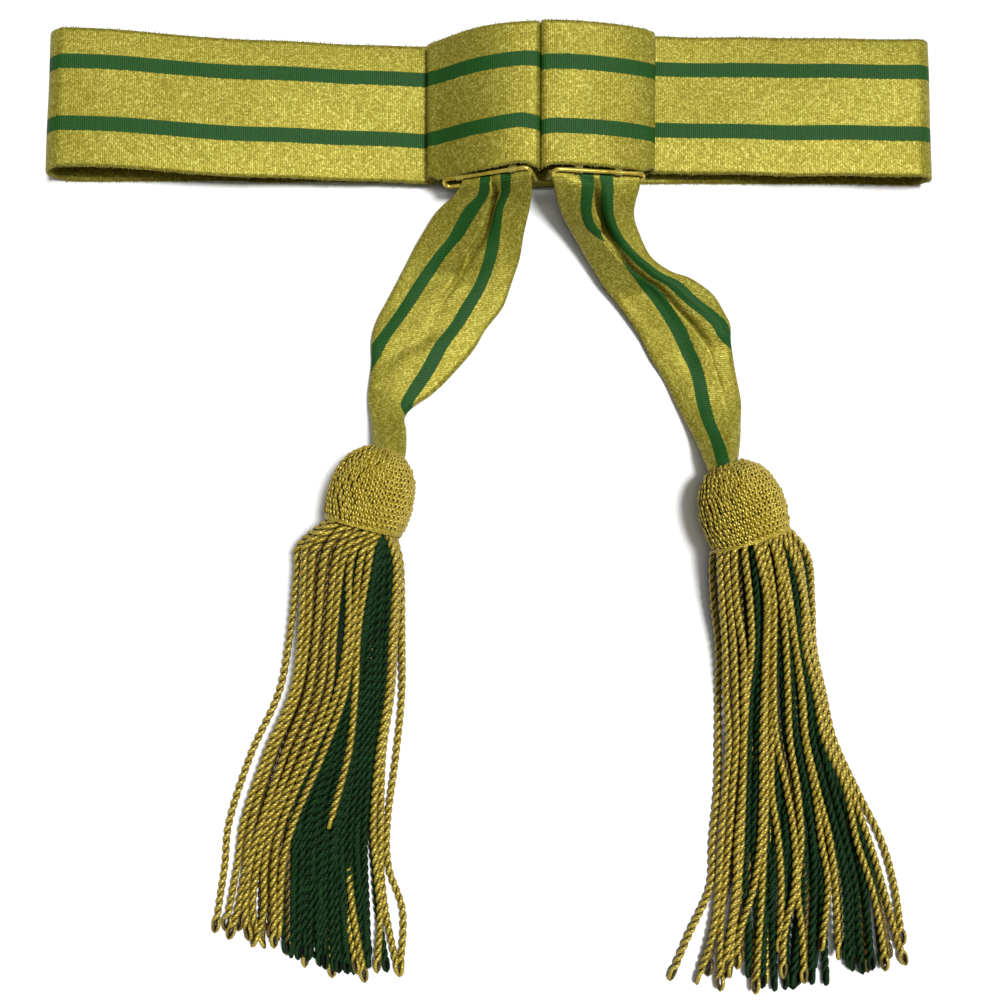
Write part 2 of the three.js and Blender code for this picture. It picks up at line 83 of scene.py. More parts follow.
def bundle(name, rings, material, turned=False):
    """A round body through rings of points, drawn together at both ends. Turned rings run the other way."""
    sides = len(rings[0])
    ends = [ring * 0.02 + ring.mean(0) * 0.98 for ring in (rings[0], rings[-1])]
    rings = np.array([ends[0]] + rings + [ends[1]])
    at = np.arange(len(rings) * sides).reshape(len(rings), sides)
    a, b, c, d = at[:-1], np.roll(at[:-1], -1, 1), np.roll(at[1:], -1, 1), at[1:]
    quads = np.stack([a, d, c, b] if turned else [a, b, c, d], -1).reshape(-1, 4)
    return quad_mesh(name, rings.reshape(-1, 3), quads, material, UVMap=np.zeros((len(rings) * sides, 2)))


def catmull_rom(keys, steps):
    """A smooth line (or surface) through keys, with so many steps from each key to the next."""
    keys = np.asarray(keys, float)
    before = np.concatenate([2 * keys[:1] - keys[1:2], keys[:-1]])
    after = np.concatenate([keys[1:], 2 * keys[-1:] - keys[-2:-1]])
    out = []
    for i in range(len(keys) - 1):
        p0, p1, p2, p3 = before[i], keys[i], keys[i + 1], after[i + 1]
        for k in range(steps):
            t = k / steps
            out.append(0.5 * (2 * p1 + (p2 - p0) * t + (2 * p0 - 5 * p1 + 4 * p2 - p3) * t * t
                              + (3 * p1 - p0 - 3 * p2 + p3) * t ** 3))
    out.append(keys[-1])
    return np.array(out)


def distances(line):
    """Length along a line at each of its points."""
    steps = np.linalg.norm(np.diff(line, axis=0), axis=1)
    return np.concatenate([[0], np.cumsum(steps)])


def look_up(places, at, rows):
    """Rows of numbers that are given at places, at other places."""
    return np.stack([np.interp(places, at, column) for column in rows.T], axis=1)


def resample(line, step):
    """The same line with points an even step apart."""
    at = distances(line)
    return look_up(np.linspace(0, at[-1], max(2, int(round(at[-1] / step)) + 1)), at, line)


def soften(values, times, axis=0):
    """Rounds off values along one axis and leaves both ends where they are."""
    values = np.moveaxis(np.array(values, float), axis, 0)
    for _ in range(times):
        values[1:-1] = 0.25 * values[:-2] + 0.5 * values[1:-1] + 0.25 * values[2:]
    return np.moveaxis(values, 0, axis)


def smoothstep(x):
    x = np.clip(x, 0, 1)
    return x * x * (3 - 2 * x)


def ripple(a, b, seed, size):
    """A gentle unevenness of about one unit over places a and b, with waves of about the given size in mm."""
    rng = np.random.default_rng(seed)
    total = 0
    for _ in range(7):
        angle, phase = rng.uniform(0, 2 * math.pi, 2)
        wave = 2 * math.pi / (size * rng.uniform(0.6, 1.8))
        total = total + np.sin(wave * (a * math.cos(angle) + b * math.sin(angle)) + phase)
    return total / 3.5


def unit(v):
    return v / np.maximum(np.linalg.norm(v, axis=-1, keepdims=True), 1e-9)


def sheet_normals(grid, closed):
    if closed:
        along = np.roll(grid, -1, axis=0) - np.roll(grid, 1, axis=0)
    else:
        along = np.gradient(grid, axis=0)
    return unit(np.cross(np.gradient(grid, axis=1), along))


def lace_sheet(name, grid, across, along, closed=False):
    """Lace of even thickness round a grid of points on its middle surface.

    The pattern follows across, each column's place across the lace, and along, each row's place along it.
    """
    rows, columns = grid.shape[:2]
    normal = sheet_normals(grid, closed)
    points = np.concatenate([(grid + normal * LACE_THICKNESS / 2).reshape(-1, 3),
                             (grid - normal * LACE_THICKNESS / 2).reshape(-1, 3)])
    at = np.arange(rows * columns).reshape(rows, columns)
    if closed:
        at = np.concatenate([at, at[:1]])
    shift = rows * columns
    a, b, c, d = at[:-1, :-1], at[:-1, 1:], at[1:, 1:], at[1:, :-1]
    quads = [np.stack([a, b, c, d], -1), np.stack([a, d, c, b], -1) + shift]
    for column, order in ((0, 1), (-1, -1)):
        p, q = at[:-1, column], at[1:, column]
        quads.append(np.stack([p, q, q + shift, p + shift][::order], -1))
    if not closed:
        for row, order in ((0, -1), (-1, 1)):
            p, q = at[row, :-1], at[row, 1:]
            quads.append(np.stack([p, q, q + shift, p + shift][::order], -1))
    quads = np.concatenate([q.reshape(-1, 4) for q in quads])
    uv = np.stack(np.broadcast_arrays(across[None, :], along[:, None]), -1).reshape(-1, 2) / 100
    return quad_mesh(name, points, quads, LACE, UVMap=np.concatenate([uv, uv]))


def tubes(name, lines, radii, material, sides=5, closed=False, outwards=None):
    """Round tubes along lines of points, in one mesh. radii has a number, or one for each point, per line.

    outwards has the open direction at each point of each line: the tubes' other sides are shaded.
    """
    all_points, all_quads, all_uv, all_open, base = [], [], [], [], 0
    ring = np.arange(sides)
    for n, (line, radius) in enumerate(zip(lines, radii)):
        count = len(line)
        if closed:
            tangent = unit(np.roll(line, -1, axis=0) - np.roll(line, 1, axis=0))
        else:
            tangent = unit(np.gradient(line, axis=0))
        side = np.cross(tangent, [0.0, 0.0, 1.0])
        weak = np.linalg.norm(side, axis=1) < 0.15
        side[weak] = np.cross(tangent[weak], [0.0, 1.0, 0.0])
        side = unit(side)
        up = np.cross(side, tangent)
        angle = 2 * math.pi * ring / sides
        radius = np.broadcast_to(np.asarray(radius, float), (count,))
        offset = side[:, None] * np.cos(angle)[None, :, None] + up[:, None] * np.sin(angle)[None, :, None]
        points = line[:, None] + offset * radius[:, None, None]
        at = base + np.arange(count * sides).reshape(count, sides)
        if closed:
            at = np.concatenate([at, at[:1]])
        a, b = at[:-1], np.roll(at[:-1], -1, axis=1)
        c, d = np.roll(at[1:], -1, axis=1), at[1:]
        all_quads.append(np.stack([a, b, c, d], -1).reshape(-1, 4))
        length = distances(line)
        uv = np.stack(np.broadcast_arrays(ring[None, :] / sides, length[:, None] / 10), -1)
        all_uv.append(uv.reshape(-1, 2))
        all_points.append(points.reshape(-1, 3))
        if outwards is None:
            open_side = np.ones((count, sides))
        else:
            open_side = 0.5 + 0.5 * np.einsum("ijk,ik->ij", offset, outwards[n])
        all_open.append(open_side.ravel())
        if not closed:
            for end, order in ((0, -1), (-1, 1)):
                tip = base + count * sides + (0 if end == 0 else 1)
                cap = np.stack([at[end], np.roll(at[end], -1), np.full(sides, tip), np.full(sides, tip)], -1)
                all_quads.append(cap[:, [0, 1, 2, 2]] if order > 0 else cap[:, [1, 0, 2, 2]])
            all_points.append(np.stack([line[0], line[-1]]))
            all_uv.append(np.array([[0.5, 0], [0.5, length[-1] / 10]]))
            all_open.append(np.ones(2))
            base += 2
        base += count * sides
    quads = np.concatenate(all_quads)
    open_side = np.repeat(np.concatenate(all_open)[:, None], 2, axis=1)
    return quad_mesh(name, np.concatenate(all_points), quads, material, UVMap=np.concatenate(all_uv),
                     OpenSide=open_side)


# Materials
class Shader:
    """A node material under construction."""

    def __init__(self, name):
        self.material = bpy.data.materials.new(name)
        self.material.use_nodes = True
        self.tree = self.material.node_tree
        self.surface = self.tree.nodes["Principled BSDF"]

    def node(self, kind, **settings):
        node = self.tree.nodes.new(kind)
        for key, value in settings.items():
            setattr(node, key, value)
        return node

    def put(self, socket, value):
        if isinstance(value, bpy.types.NodeSocket):
            self.tree.links.new(value, socket)
        else:
            socket.default_value = value

    def math(self, operation, *values):
        node = self.node("ShaderNodeMath", operation=operation)
        for socket, value in zip(node.inputs, values):
            self.put(socket, value)
        return node.outputs[0]

    def spread(self, value, low, high, to_low=0.0, to_high=1.0):
        node = self.node("ShaderNodeMapRange", interpolation_type="SMOOTHSTEP")
        for socket, number in zip(node.inputs, (value, low, high, to_low, to_high)):
            self.put(socket, number)
        return node.outputs[0]

    def add(self, first, second):
        return self.math("ADD", first, second)

    def times(self, first, second):
        return self.math("MULTIPLY", first, second)

    def less(self, first, second):
        return self.math("SUBTRACT", first, second)

    def uv(self, scale, layer="UVMap"):
        node = self.node("ShaderNodeUVMap", uv_map=layer)
        parts = self.node("ShaderNodeSeparateXYZ")
        self.tree.links.new(node.outputs[0], parts.inputs[0])
        return [self.times(parts.outputs[k], scale) for k in (0, 1)]

    def place(self):
        return self.node("ShaderNodeTexCoord").outputs["Object"]

    def random(self, x, y):
        node = self.node("ShaderNodeTexWhiteNoise", noise_dimensions="2D")
        place = self.node("ShaderNodeCombineXYZ")
        for socket, value in zip(place.inputs, (x, y)):
            self.put(socket, value)
        self.put(node.inputs["Vector"], place.outputs[0])
        return node.outputs["Value"]

    def noise(self, where, scale, detail=2.0, roughness=0.5):
        node = self.node("ShaderNodeTexNoise")
        settings = dict(Vector=where, Scale=scale, Detail=detail, Roughness=roughness)
        for name, value in settings.items():
            self.put(node.inputs[name], value)
        return node.outputs[0]

    def ramp(self, value, stops):
        node = self.node("ShaderNodeValToRGB")
        ramp = node.color_ramp
        while len(ramp.elements) < len(stops):
            ramp.elements.new(0.5)
        for element, (place, colour) in zip(ramp.elements, stops):
            element.position = place
            element.color = (*colour, 1)
        self.put(node.inputs[0], value)
        return node.outputs[0]

    def mix(self, part, first, second):
        node = self.node("ShaderNodeMix", data_type="RGBA")
        self.put(node.inputs[0], part)
        for socket, value in ((node.inputs[6], first), (node.inputs[7], second)):
            self.put(socket, value if isinstance(value, bpy.types.NodeSocket) else (*value, 1))
        return node.outputs[2]

    def bump(self, height, distance, strength=1.0):
        node = self.node("ShaderNodeBump")
        node.inputs["Strength"].default_value = strength
        node.inputs["Distance"].default_value = distance * MM
        self.put(node.inputs["Height"], height)
        self.put(self.surface.inputs["Normal"], node.outputs[0])

    def set(self, **values):
        for key, value in values.items():
            self.put(self.surface.inputs[key.replace("_", " ")], value)
        return self.material


def lace_material():
    shader = Shader("metallic_lace")
    across, along = shader.uv(100.0)
    ribs = shader.math("DIVIDE", along, RIB_PITCH)
    rib = shader.math("FLOOR", ribs)
    profile = shader.math("SINE", shader.times(shader.math("FRACT", ribs), math.pi))
    # Each rib is covered by short floats of metal thread that start at different places
    start = shader.times(shader.random(rib, 3.7), 7.0)
    floats = shader.math("FLOOR", shader.math("DIVIDE", shader.add(across, start), 0.9))
    glint = shader.random(rib, floats)
    fine = shader.random(shader.math("FLOOR", shader.times(ribs, 2.0)),
                         shader.math("FLOOR", shader.math("DIVIDE", across, 0.5)))
    tone = shader.add(shader.times(glint, 0.5), shader.times(fine, 0.5))
    patches = shader.noise(shader.place(), 30.0, 3.0)
    tone = shader.add(tone, shader.times(shader.less(patches, 0.5), 0.22))
    gold = shader.ramp(tone, [
        (0.12, (0.190, 0.155, 0.012)), (0.42, (0.278, 0.240, 0.024)), (0.66, (0.350, 0.312, 0.042)),
        (0.92, (0.54, 0.49, 0.12)),
    ])
    # Painted shade and light on the ribs: the gold is darker in the hollows between them, and the green
    # lighter on their crests
    gold = shader.mix(shader.spread(profile, 0.0, 0.4), (0.215, 0.178, 0.014), gold)
    shade = shader.add(shader.times(profile, 0.7), shader.times(fine, 0.3))
    green = shader.ramp(shade, [
        (0.15, (0.006, 0.030, 0.006)), (0.60, (0.012, 0.070, 0.010)), (1.0, (0.020, 0.104, 0.016)),
    ])
    wobble = shader.times(shader.less(glint, 0.5), 0.28)
    middle = shader.math("ABSOLUTE", shader.less(shader.add(across, wobble), LACE_WIDTH / 2))
    stripe = shader.times(shader.spread(middle, STRIPE_INNER - 0.2, STRIPE_INNER + 0.2),
                          shader.spread(middle, STRIPE_OUTER - 0.2, STRIPE_OUTER + 0.2, 1.0, 0.0))
    threads = shader.times(tone, shader.less(0.8, shader.times(stripe, 0.7)))
    height = shader.add(shader.times(profile, 0.30), threads)
    shader.bump(height, 0.24, 0.7)
    return shader.set(
        Base_Color=shader.mix(stripe, gold, green),
        Metallic=shader.times(shader.less(1.0, stripe), 0.36),
        Roughness=shader.add(0.50, shader.times(stripe, 0.1)),
        Specular_IOR_Level=0.15)


def cord_material(name, stops, metallic, roughness, sheen=0.5, open_from=0.22, open_to=0.84):
    shader = Shader(name)
    around, along = shader.uv(1.0)
    threads = shader.add(shader.times(around, 5.0), shader.times(along, 7.0))
    thread = shader.math("ABSOLUTE", shader.math("SINE", shader.times(threads, math.pi)))
    patches = shader.noise(shader.place(), 260.0, 3.0, 0.6)
    tone = shader.add(shader.times(thread, 0.50), shader.times(patches, 0.60))
    shader.bump(thread, 0.15, 0.7)
    # Painted shade: the sides of the threads that face the cord's middle, in the grooves, are darker
    open_side, _ = shader.uv(1.0, "OpenSide")
    painted_groove_shade = tuple(0.16 * value for value in stops[0][1])
    colour = shader.mix(shader.spread(open_side, open_from, open_to), painted_groove_shade, shader.ramp(tone, stops))
    return shader.set(Base_Color=colour, Metallic=metallic, Roughness=roughness, Specular_IOR_Level=sheen)


# Colours of the threads from dark to light, each with its place in the tone
GOLD_STOPS = [(0.2, (0.16, 0.094, 0.006)), (0.45, (0.33, 0.232, 0.016)), (0.7, (0.48, 0.36, 0.036)),
              (0.95, (0.68, 0.57, 0.12))]
# A darker copy of the gold for the cords that lie under the top ones: painted shade
SHADED_STOPS = [(0.2, (0.05, 0.026, 0.003)), (0.55, (0.12, 0.075, 0.008)), (0.9, (0.24, 0.17, 0.025))]
CROCHET_STOPS = [(0.2, (0.16, 0.093, 0.006)), (0.45, (0.41, 0.285, 0.016)), (0.7, (0.61, 0.47, 0.044)),
                 (0.95, (0.80, 0.69, 0.15))]
GREEN_STOPS = [(0.2, (0.002, 0.010, 0.003)), (0.55, (0.005, 0.024, 0.006)), (0.9, (0.011, 0.048, 0.011))]
SELVEDGE_STOPS = [(0.2, (0.17, 0.14, 0.015)), (0.6, (0.34, 0.29, 0.04)), (1.0, (0.60, 0.54, 0.16))]
# Near black: painted shade, seen between the stitches and between the cords
CORE_STOPS = [(0.2, (0.004, 0.003, 0.001)), (0.6, (0.010, 0.007, 0.002)), (1.0, (0.022, 0.016, 0.004))]
LACE = lace_material()
GOLD_CORD = cord_material("gold_cord", GOLD_STOPS, 0.3, 0.46)
SHADED_CORD = cord_material("painted_shade_gold_cord", SHADED_STOPS, 0.2, 0.45)
GREEN_CORD = cord_material("green_cord", GREEN_STOPS, 0.0, 0.6, 0.12)
CROCHET = cord_material("gold_crochet", CROCHET_STOPS, 0.3, 0.42, open_from=0.32, open_to=0.92)
CORE = cord_material("shaded_core", CORE_STOPS, 0.0, 0.8)
SELVEDGE = cord_material("selvedge_thread", SELVEDGE_STOPS, 0.4, 0.45)


def brass_material():
    shader = Shader("polished_brass")
    where = shader.place()
    stain = shader.noise(where, 180.0, 4.0, 0.6)
    colours = [(0.3, (0.58, 0.42, 0.05)), (0.55, (0.80, 0.62, 0.10)), (0.8, (0.90, 0.74, 0.20))]
    shader.bump(shader.noise(where, 900.0, 2.0), 0.03, 0.4)
    return shader.set(Base_Color=shader.ramp(stain, colours), Metallic=0.6,
                      Roughness=shader.spread(stain, 0.3, 0.8, 0.15, 0.3))


def steel_material():
    shader = Shader("plate_steel")
    where = shader.place()
    stretch = shader.node("ShaderNodeMapping")
    stretch.inputs["Scale"].default_value = (40, 1600, 40)
    shader.put(stretch.inputs["Vector"], where)
    lines = shader.noise(stretch.outputs[0], 1.0, 3.0)
    shader.bump(lines, 0.02, 0.5)
    return shader.set(Base_Color=shader.ramp(lines, [(0.3, (0.30, 0.29, 0.27)), (0.7, (0.52, 0.51, 0.49))]),
                      Metallic=0.9, Roughness=0.4)


BRASS = brass_material()
STEEL = steel_material()


def stand_for(piece, *nodes, slot="lace"):
    """Says what a piece rides on and which nodes it replaces. slot is not used."""
    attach(piece, "root")
    if nodes:
        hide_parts(*nodes)
    return piece


SELVEDGE_STEPS = 6  # points to a loop of the selvedge
SELVEDGE_THREAD = 0.17  # radius


def selvedge(name, grid, seed):
    """The small uneven loops that the weft makes along the edges of a grid of lace."""
    rng = np.random.default_rng(seed)
    lines = []
    for edge, inner in ((0, 1), (-1, -2)):
        at = distances(grid[:, edge])
        s = np.linspace(0, at[-1], int(at[-1] / (SELVEDGE_PITCH / SELVEDGE_STEPS)))
        line = look_up(s, at, grid[:, edge])
        way = unit(look_up(s, at, grid[:, edge] - grid[:, inner]))
        tangent = unit(np.gradient(line, axis=0))
        loops = s / SELVEDGE_PITCH + 0.35 * ripple(s, 0 * s, seed, 6)
        loop = np.clip(loops, 0, None).astype(int)
        size = (rng.uniform(0.2, 1.1, loop.max() + 1) ** 1.3)[loop]
        lean = rng.uniform(-0.4, 0.4, loop.max() + 1)[loop]
        phase = 2 * math.pi * loops
        rise = np.cross(tangent, way)
        line = (line + way * (0.5 - 0.5 * np.cos(phase))[:, None] * size[:, None]
                + tangent * (np.sin(phase) * 0.35)[:, None] + rise * (lean * np.sin(phase / 2))[:, None])
        line[:, 2] = np.maximum(line[:, 2], 0.25)
        lines.append(line)
    stand_for(tubes(name, lines, [SELVEDGE_THREAD] * len(lines), SELVEDGE, sides=4))


# Waist band
RIGHT_FOLD = (212.0, 9.3)  # x and radius
LEFT_FOLD = (-222.0, 10.3)
# The front layer, as x and height
RIGHT_RUN = [(-10, 11.8), (40, 11.8), (85, 12.6), (130, 14.8), (170, 17.2), (200, 18.9)]
LEFT_RUN = [(-190, 20.4), (-150, 17.6), (-110, 14.0), (-75, 10.6), (-45, 8.6), (-15, 8.0), (35, 8.0)]
LEFT_RISE = ([-230, -204, -175, -148, -119, -80, -45], [1.0, 1.0, 0.3, -1.0, -0.9, -0.6, -0.3])  # by x
# The y that the middle of the band's width has at an x, its slope, and that x
RIGHT_MIDDLE, BACK_MIDDLE, LEFT_MIDDLE = (203.5, -0.0264, 83), (202.5, -0.0048, -225), (204.3, -0.023, -230)
RIGHT_FOLD_MIDDLE, LEFT_FOLD_CLIMB = 200.2, 2.6
ON_TABLE = 0.7  # height of the lace's middle where it lies on the table
COLUMNS = 41  # points across the band and the loops
# Where the stripes' edges lie across the band in the photo, against where they are in the lace
BAND_STRIPES = ([0, 13.2, 20.6, 44.6, 52.1, 70], [0, 15.5, 23, 47, 54.5, 70])


def middle_at(x, middle):
    y, slope, given_at = middle
    return y + slope * (x - given_at)


def band_line():
    """Middle line of the band as rows of x, height and the middle of its width.

    It runs from its end under the bow to the right fold, back along the table and over the left fold.
    """
    rows = [(x, z, middle_at(x, RIGHT_MIDDLE)) for x, z in RIGHT_RUN]
    x0, radius = RIGHT_FOLD
    for angle in np.linspace(0, math.pi, 9):
        rows.append((x0 + radius * math.sin(angle), ON_TABLE + radius * (1 + math.cos(angle)),
                     RIGHT_FOLD_MIDDLE))
    rows += [(x, ON_TABLE, middle_at(x, BACK_MIDDLE)) for x in range(180, -190, -30)]
    x0, radius = LEFT_FOLD
    for part in np.linspace(0, 1, 9):
        angle = math.pi * part
        rows.append((x0 - radius * math.sin(angle), ON_TABLE + radius * (1 - math.cos(angle)),
                     BACK_MIDDLE[0] + LEFT_FOLD_CLIMB * part))
    rows += [(x, z, middle_at(x, LEFT_MIDDLE) + np.interp(x, *LEFT_RISE)) for x, z in LEFT_RUN]
    return resample(catmull_rom(np.array(rows, float), 8), 2.0)


def build_band():
    line = band_line()
    along = distances(line)
    part = np.linspace(0, 1, COLUMNS)
    edge = ripple(along, 0 * along, SEEDS["band_edge"], 60) * 0.35
    width = LACE_WIDTH + ripple(along, 0 * along, SEEDS["band_width"], 90) * 0.4
    across = (part - 0.5)[None, :] * width[:, None]
    slant = 0.04 - 0.07 * (line[:, 0] + 230) / 450
    x = line[:, :1] + slant[:, None] * across
    y = line[:, 2:3] + across + edge[:, None]
    lifted = smoothstep((line[:, 1:2] - 1.5) / 5)
    wave = ripple(line[:, :1] + 0 * across, across + line[:, 2:3], SEEDS["band_wave"], 55) * 0.55 * lifted
    z = line[:, 1:2] + wave
    # The front layer's edges sink a little
    z = z - lifted * 0.5 * np.abs(2 * part - 1)[None, :] ** 6
    grid = np.stack([x, y, z], -1)
    lace_across = np.interp((1 - part) * LACE_WIDTH, *BAND_STRIPES)
    piece = stand_for(lace_sheet("band_lace", grid, lace_across, along), "waist_band")
    selvedge("band_selvedge", grid, SEEDS["band_selvedge"])


# Bow loops, with outlines as x and height, seen from their open lower ends
LEFT_LOOP = [
    (19.4, 28), (19.3, 20), (18.4, 15.0), (15, 13.6), (0, 13.6), (-12, 13.2), (-26, 11.9), (-33, 12.1),
    (-36.6, 14.0), (-36.2, 17.2), (-31, 20.8), (-25, 26), (-16.5, 33), (-7, 38.4), (2.6, 41.0), (11, 41.8),
    (16.8, 41.8), (18.9, 40.9), (19.4, 38.2), (19.4, 33),
]
RIGHT_LOOP = [
    (20.6, 33), (20.6, 38.2), (21.1, 40.9), (23.2, 41.8), (31, 41.8), (40.4, 41), (49.9, 39.2), (59.6, 36.5),
    (69, 32.9), (75.4, 29.6), (77.8, 26.2), (77.4, 21.5), (74, 17), (66, 14.5), (50, 13.7), (30, 13.6),
    (25, 13.6), (21.6, 15), (20.7, 20), (20.6, 28),
]
LOOPS = {  # outline, outer side, lower edge by place, upper edge at the outer side and the seam, stripes
    "left": dict(outline=LEFT_LOOP, outer=-37, upper=(233.4, 236.4),
                 lower=([-37, -24, -7, 8, 12, 16, 20], [163.2, 163.6, 164.3, 166.5, 166.5, 165.2, 163.9]),
                 stripes=([0, 14.6, 21.9, 45.4, 52.6, 70], [0, 15.5, 23, 47, 54.5, 70])),
    "right": dict(outline=RIGHT_LOOP, outer=77, upper=(235.8, 236.8),
                  lower=([20, 23, 27, 45, 66, 78], [164.0, 165.2, 165.8, 165.6, 165.2, 164.6]),
                  stripes=([0, 16.4, 23.8, 47.6, 55.0, 70], [0, 15.5, 23, 47, 54.5, 70])),
}
SEAM = 20.0  # x of the seam between the loops


def build_loop(side):
    loop = LOOPS[side]
    outline = np.array(loop["outline"], float)
    steps = 12
    ring = catmull_rom(np.concatenate([outline[-2:], outline, outline[:3]]), steps)
    ring = ring[2 * steps:(2 + len(outline)) * steps + 1]
    ring = resample(ring, 1.3)[:-1]
    along = distances(np.concatenate([ring, ring[:1]]))
    part = np.linspace(0, 1, COLUMNS)
    reach = (ring[:, 0] - loop["outer"]) / (SEAM - loop["outer"])
    # Beside the seam the lace turns down and its open edge draws back
    low = np.interp(ring[:, 0], *loop["lower"])
    low = low + 7 * smoothstep((39 - ring[:, 1]) / 7) * smoothstep((3.0 - np.abs(ring[:, 0] - SEAM)) / 1.5)
    high = loop["upper"][0] + (loop["upper"][1] - loop["upper"][0]) * reach
    # Corners of the outer fold are a little rounded
    corner = smoothstep((0.1 - reach) / 0.1)
    rounding = 2.4 * (1 - smoothstep(part / 0.18)) - 0.5 * smoothstep((part - 0.82) / 0.18)
    y = low[:, None] + (high - low)[:, None] * part[None, :]
    y = y + corner[:, None] * rounding[None, :]
    x = ring[:, :1] + 0 * y
    wave = ripple(x, y, SEEDS[f"{side}_loop"], 38) * 0.3
    z = ring[:, 1:2] + wave * smoothstep((ring[:, 1:2] - 18) / 8)
    grid = np.stack([x, y, z], -1)[::-1]
    across = np.interp((1 - part) * LACE_WIDTH, *loop["stripes"])
    sheet = lace_sheet(f"bow_{side}_lace", grid, across, along[:-1], closed=True)
    piece = stand_for(sheet, f"bow_loop_{side}")
    selvedge(f"bow_{side}_selvedge", grid, SEEDS[f"{side}_loop_selvedge"])


# Wire rings
WIRE_RADIUS = 1.0
RING_LENGTH, RING_WIDTH = 48.4, 7.5
SEWING_TURNS, SEWING_THREAD = 5, 0.32  # of the thread at each stitch, and its radius
# start and end are those of the upper bar, down is the way to the lower bar, and stitches are places along
# the upper bar, as parts of the ring's length from its middle
RINGS = {
    "left": dict(start=(-30.2, 162.0, 24.0), end=(15.3, 164.6, 41.4), down=(0, -0.50, -0.87),
                 stitches=(-0.28, 0.30)),
    "right": dict(start=(27.0, 163.2, 42.4), end=(72.3, 162.9, 33.0), down=(0, -0.32, -0.95),
                  stitches=(-0.22, 0.20)),
}


def ring_frame(side):
    start, end, down = (np.array(RINGS[side][key], float) for key in ("start", "end", "down"))
    along = unit(end - start)
    down = unit(down - along * down.dot(along))
    face = -np.cross(along, down)
    return (start + end) / 2, along, down, face


def build_ring(side):
    upper_bar, along, down, face = ring_frame(side)
    spacing = RING_WIDTH - 2 * WIRE_RADIUS
    bend = spacing / 2
    straight = RING_LENGTH / 2 - WIRE_RADIUS - bend
    turn = np.linspace(-math.pi / 2, math.pi / 2, 13)
    right = np.stack([straight + bend * np.cos(turn), bend * np.sin(turn)], 1)
    path = np.concatenate([right, -right, right[:1]])
    path = resample(path, 1.2)[:-1]
    centre = upper_bar + down * bend
    line = centre + path[:, :1] * along + path[:, 1:] * down
    stand_for(tubes(f"brass_ring_{side}", [line], [WIRE_RADIUS], BRASS, sides=12, closed=True),
              f"wire_ring_{side}", slot="brass_wire")
    # Gold thread that sews the upper bar to the loop's edge
    lines = []
    for place in RINGS[side]["stitches"]:
        s = np.linspace(0, SEWING_TURNS, 60)
        angle = 2 * math.pi * s
        middle = upper_bar + along * (place * RING_LENGTH) + np.array([0, 0.55, 0.3])
        lines.append(middle + along * (s * 0.75 - 1.9)[:, None]
                     + np.array([0, 1.0, 0]) * (1.75 * np.cos(angle))[:, None]
                     + face * (1.35 * np.sin(angle))[:, None])
    stand_for(tubes(f"ring_stitches_{side}", lines, [SEWING_THREAD] * len(lines), SELVEDGE))


# Tails
N = None  # marks a stripe that is turned under
# A row gives the two outer edges seen from above, then heights at the left edge, left stripe, fold, valley,
# right stripe and right edge, then which part of the lace (mm from its left selvedge) lies at the left edge,
# fold, valley and right edge, then how far across the row the left stripe, fold, valley and right stripe lie,
# and the radius of the rolled edges. The lace beyond the two edges is turned under, and what is missing
# between fold and valley is pleated under the fold.
LEFT_TAIL = [
    (-20.6, 161, 16.3, 161.7, 22, 27, 31.5, 29, 25, 36, 2, 24, 42, 68, 0.35, 0.444, 0.47, 0.636, 0.7),
    (-23.6, 155.3, 16.1, 154.6, 17, 26, 31.5, 15, 25, 33, 2, 25, 41.5, 69, 0.41, 0.505, 0.55, 0.65, 0.8),
    (-32.5, 149.7, 14.7, 147.9, 9, 20, 25.5, 11, 20, 24, 1, 26, 42.5, 69.5, 0.46, 0.585, 0.61, 0.66, 1),
    (-39.5, 139.9, 11.8, 136.6, 5.5, 13, 20, 6.5, 14.5, 17, 0.5, 29.5, 45, 69.8, 0.365, 0.595, 0.63, 0.722, 1),
    (-45.3, 130.3, 9.8, 124.9, 4.5, 8.5, 14.5, 4.5, 10.5, 11, 1, 32, 41, 69.8, 0.276, 0.52, 0.57, 0.742, 1),
    (-52.2, 117, 5.2, 111.2, 3.5, 6, 8, 4.6, 7.5, 6.5, 4.5, 34, 36, 69, 0.215, 0.48, 0.52, 0.746, 1),
    (-58.7, 104.5, 1, 100, 3.5, 5, 5.6, 5, 6, 5, 6, 34, 36, 69, 0.18, 0.44, 0.48, 0.71, 1),
    (-64.9, 93, -7.3, 89.6, 3.6, 5, 6, 6, 5.8, 5, 7.5, 34, 36, 68, 0.17, 0.43, 0.48, 0.735, 1.1),
    (-67.3, 83.4, -14.1, 78.1, 4.5, 5.5, 7, 7, 6.5, 5, 13, 34, 36, 68, 0.092, 0.38, 0.41, 0.687, 1.2),
    (-67.2, 71.9, -23.4, 67.2, 5, 5.5, 7, 7, 6.5, 5.2, 20, 34, 36, 64.5, 0.03, 0.33, 0.36, 0.7, 1.4),
    (-68.2, 59.8, -34.3, 56.2, 6, N, 7.6, 7.6, 7, 6.2, 26, 35, 36, 61, N, 0.28, 0.3, 0.709, 1.6),
    (-68.3, 51.9, -44.1, 49.3, 7.5, N, 9.5, 9.5, 8.5, 7.5, 28, 36, 37, 56.5, N, 0.33, 0.36, 0.82, 2),
    (-66.8, 43.1, -49.8, 42.3, 12, N, 13.5, 13.5, N, 12, 27, 35.5, 36.5, 45, N, 0.48, 0.52, N, 3),
    (-65.8, 37, -48.8, 36, 16, N, 17.5, 17, N, 16, 27, 35.5, 36.5, 45, N, 0.48, 0.52, N, 4),
    (-64.4, 27, -48.5, 26, 22, N, 24.5, 24, N, 22, 27, 35.5, 36.5, 45, N, 0.46, 0.5, N, 5),
    (-63.9, 21, -49.5, 20, 23, N, 25.5, 25, N, 23, 27, 35.5, 36.5, 45, N, 0.46, 0.5, N, 5),
]
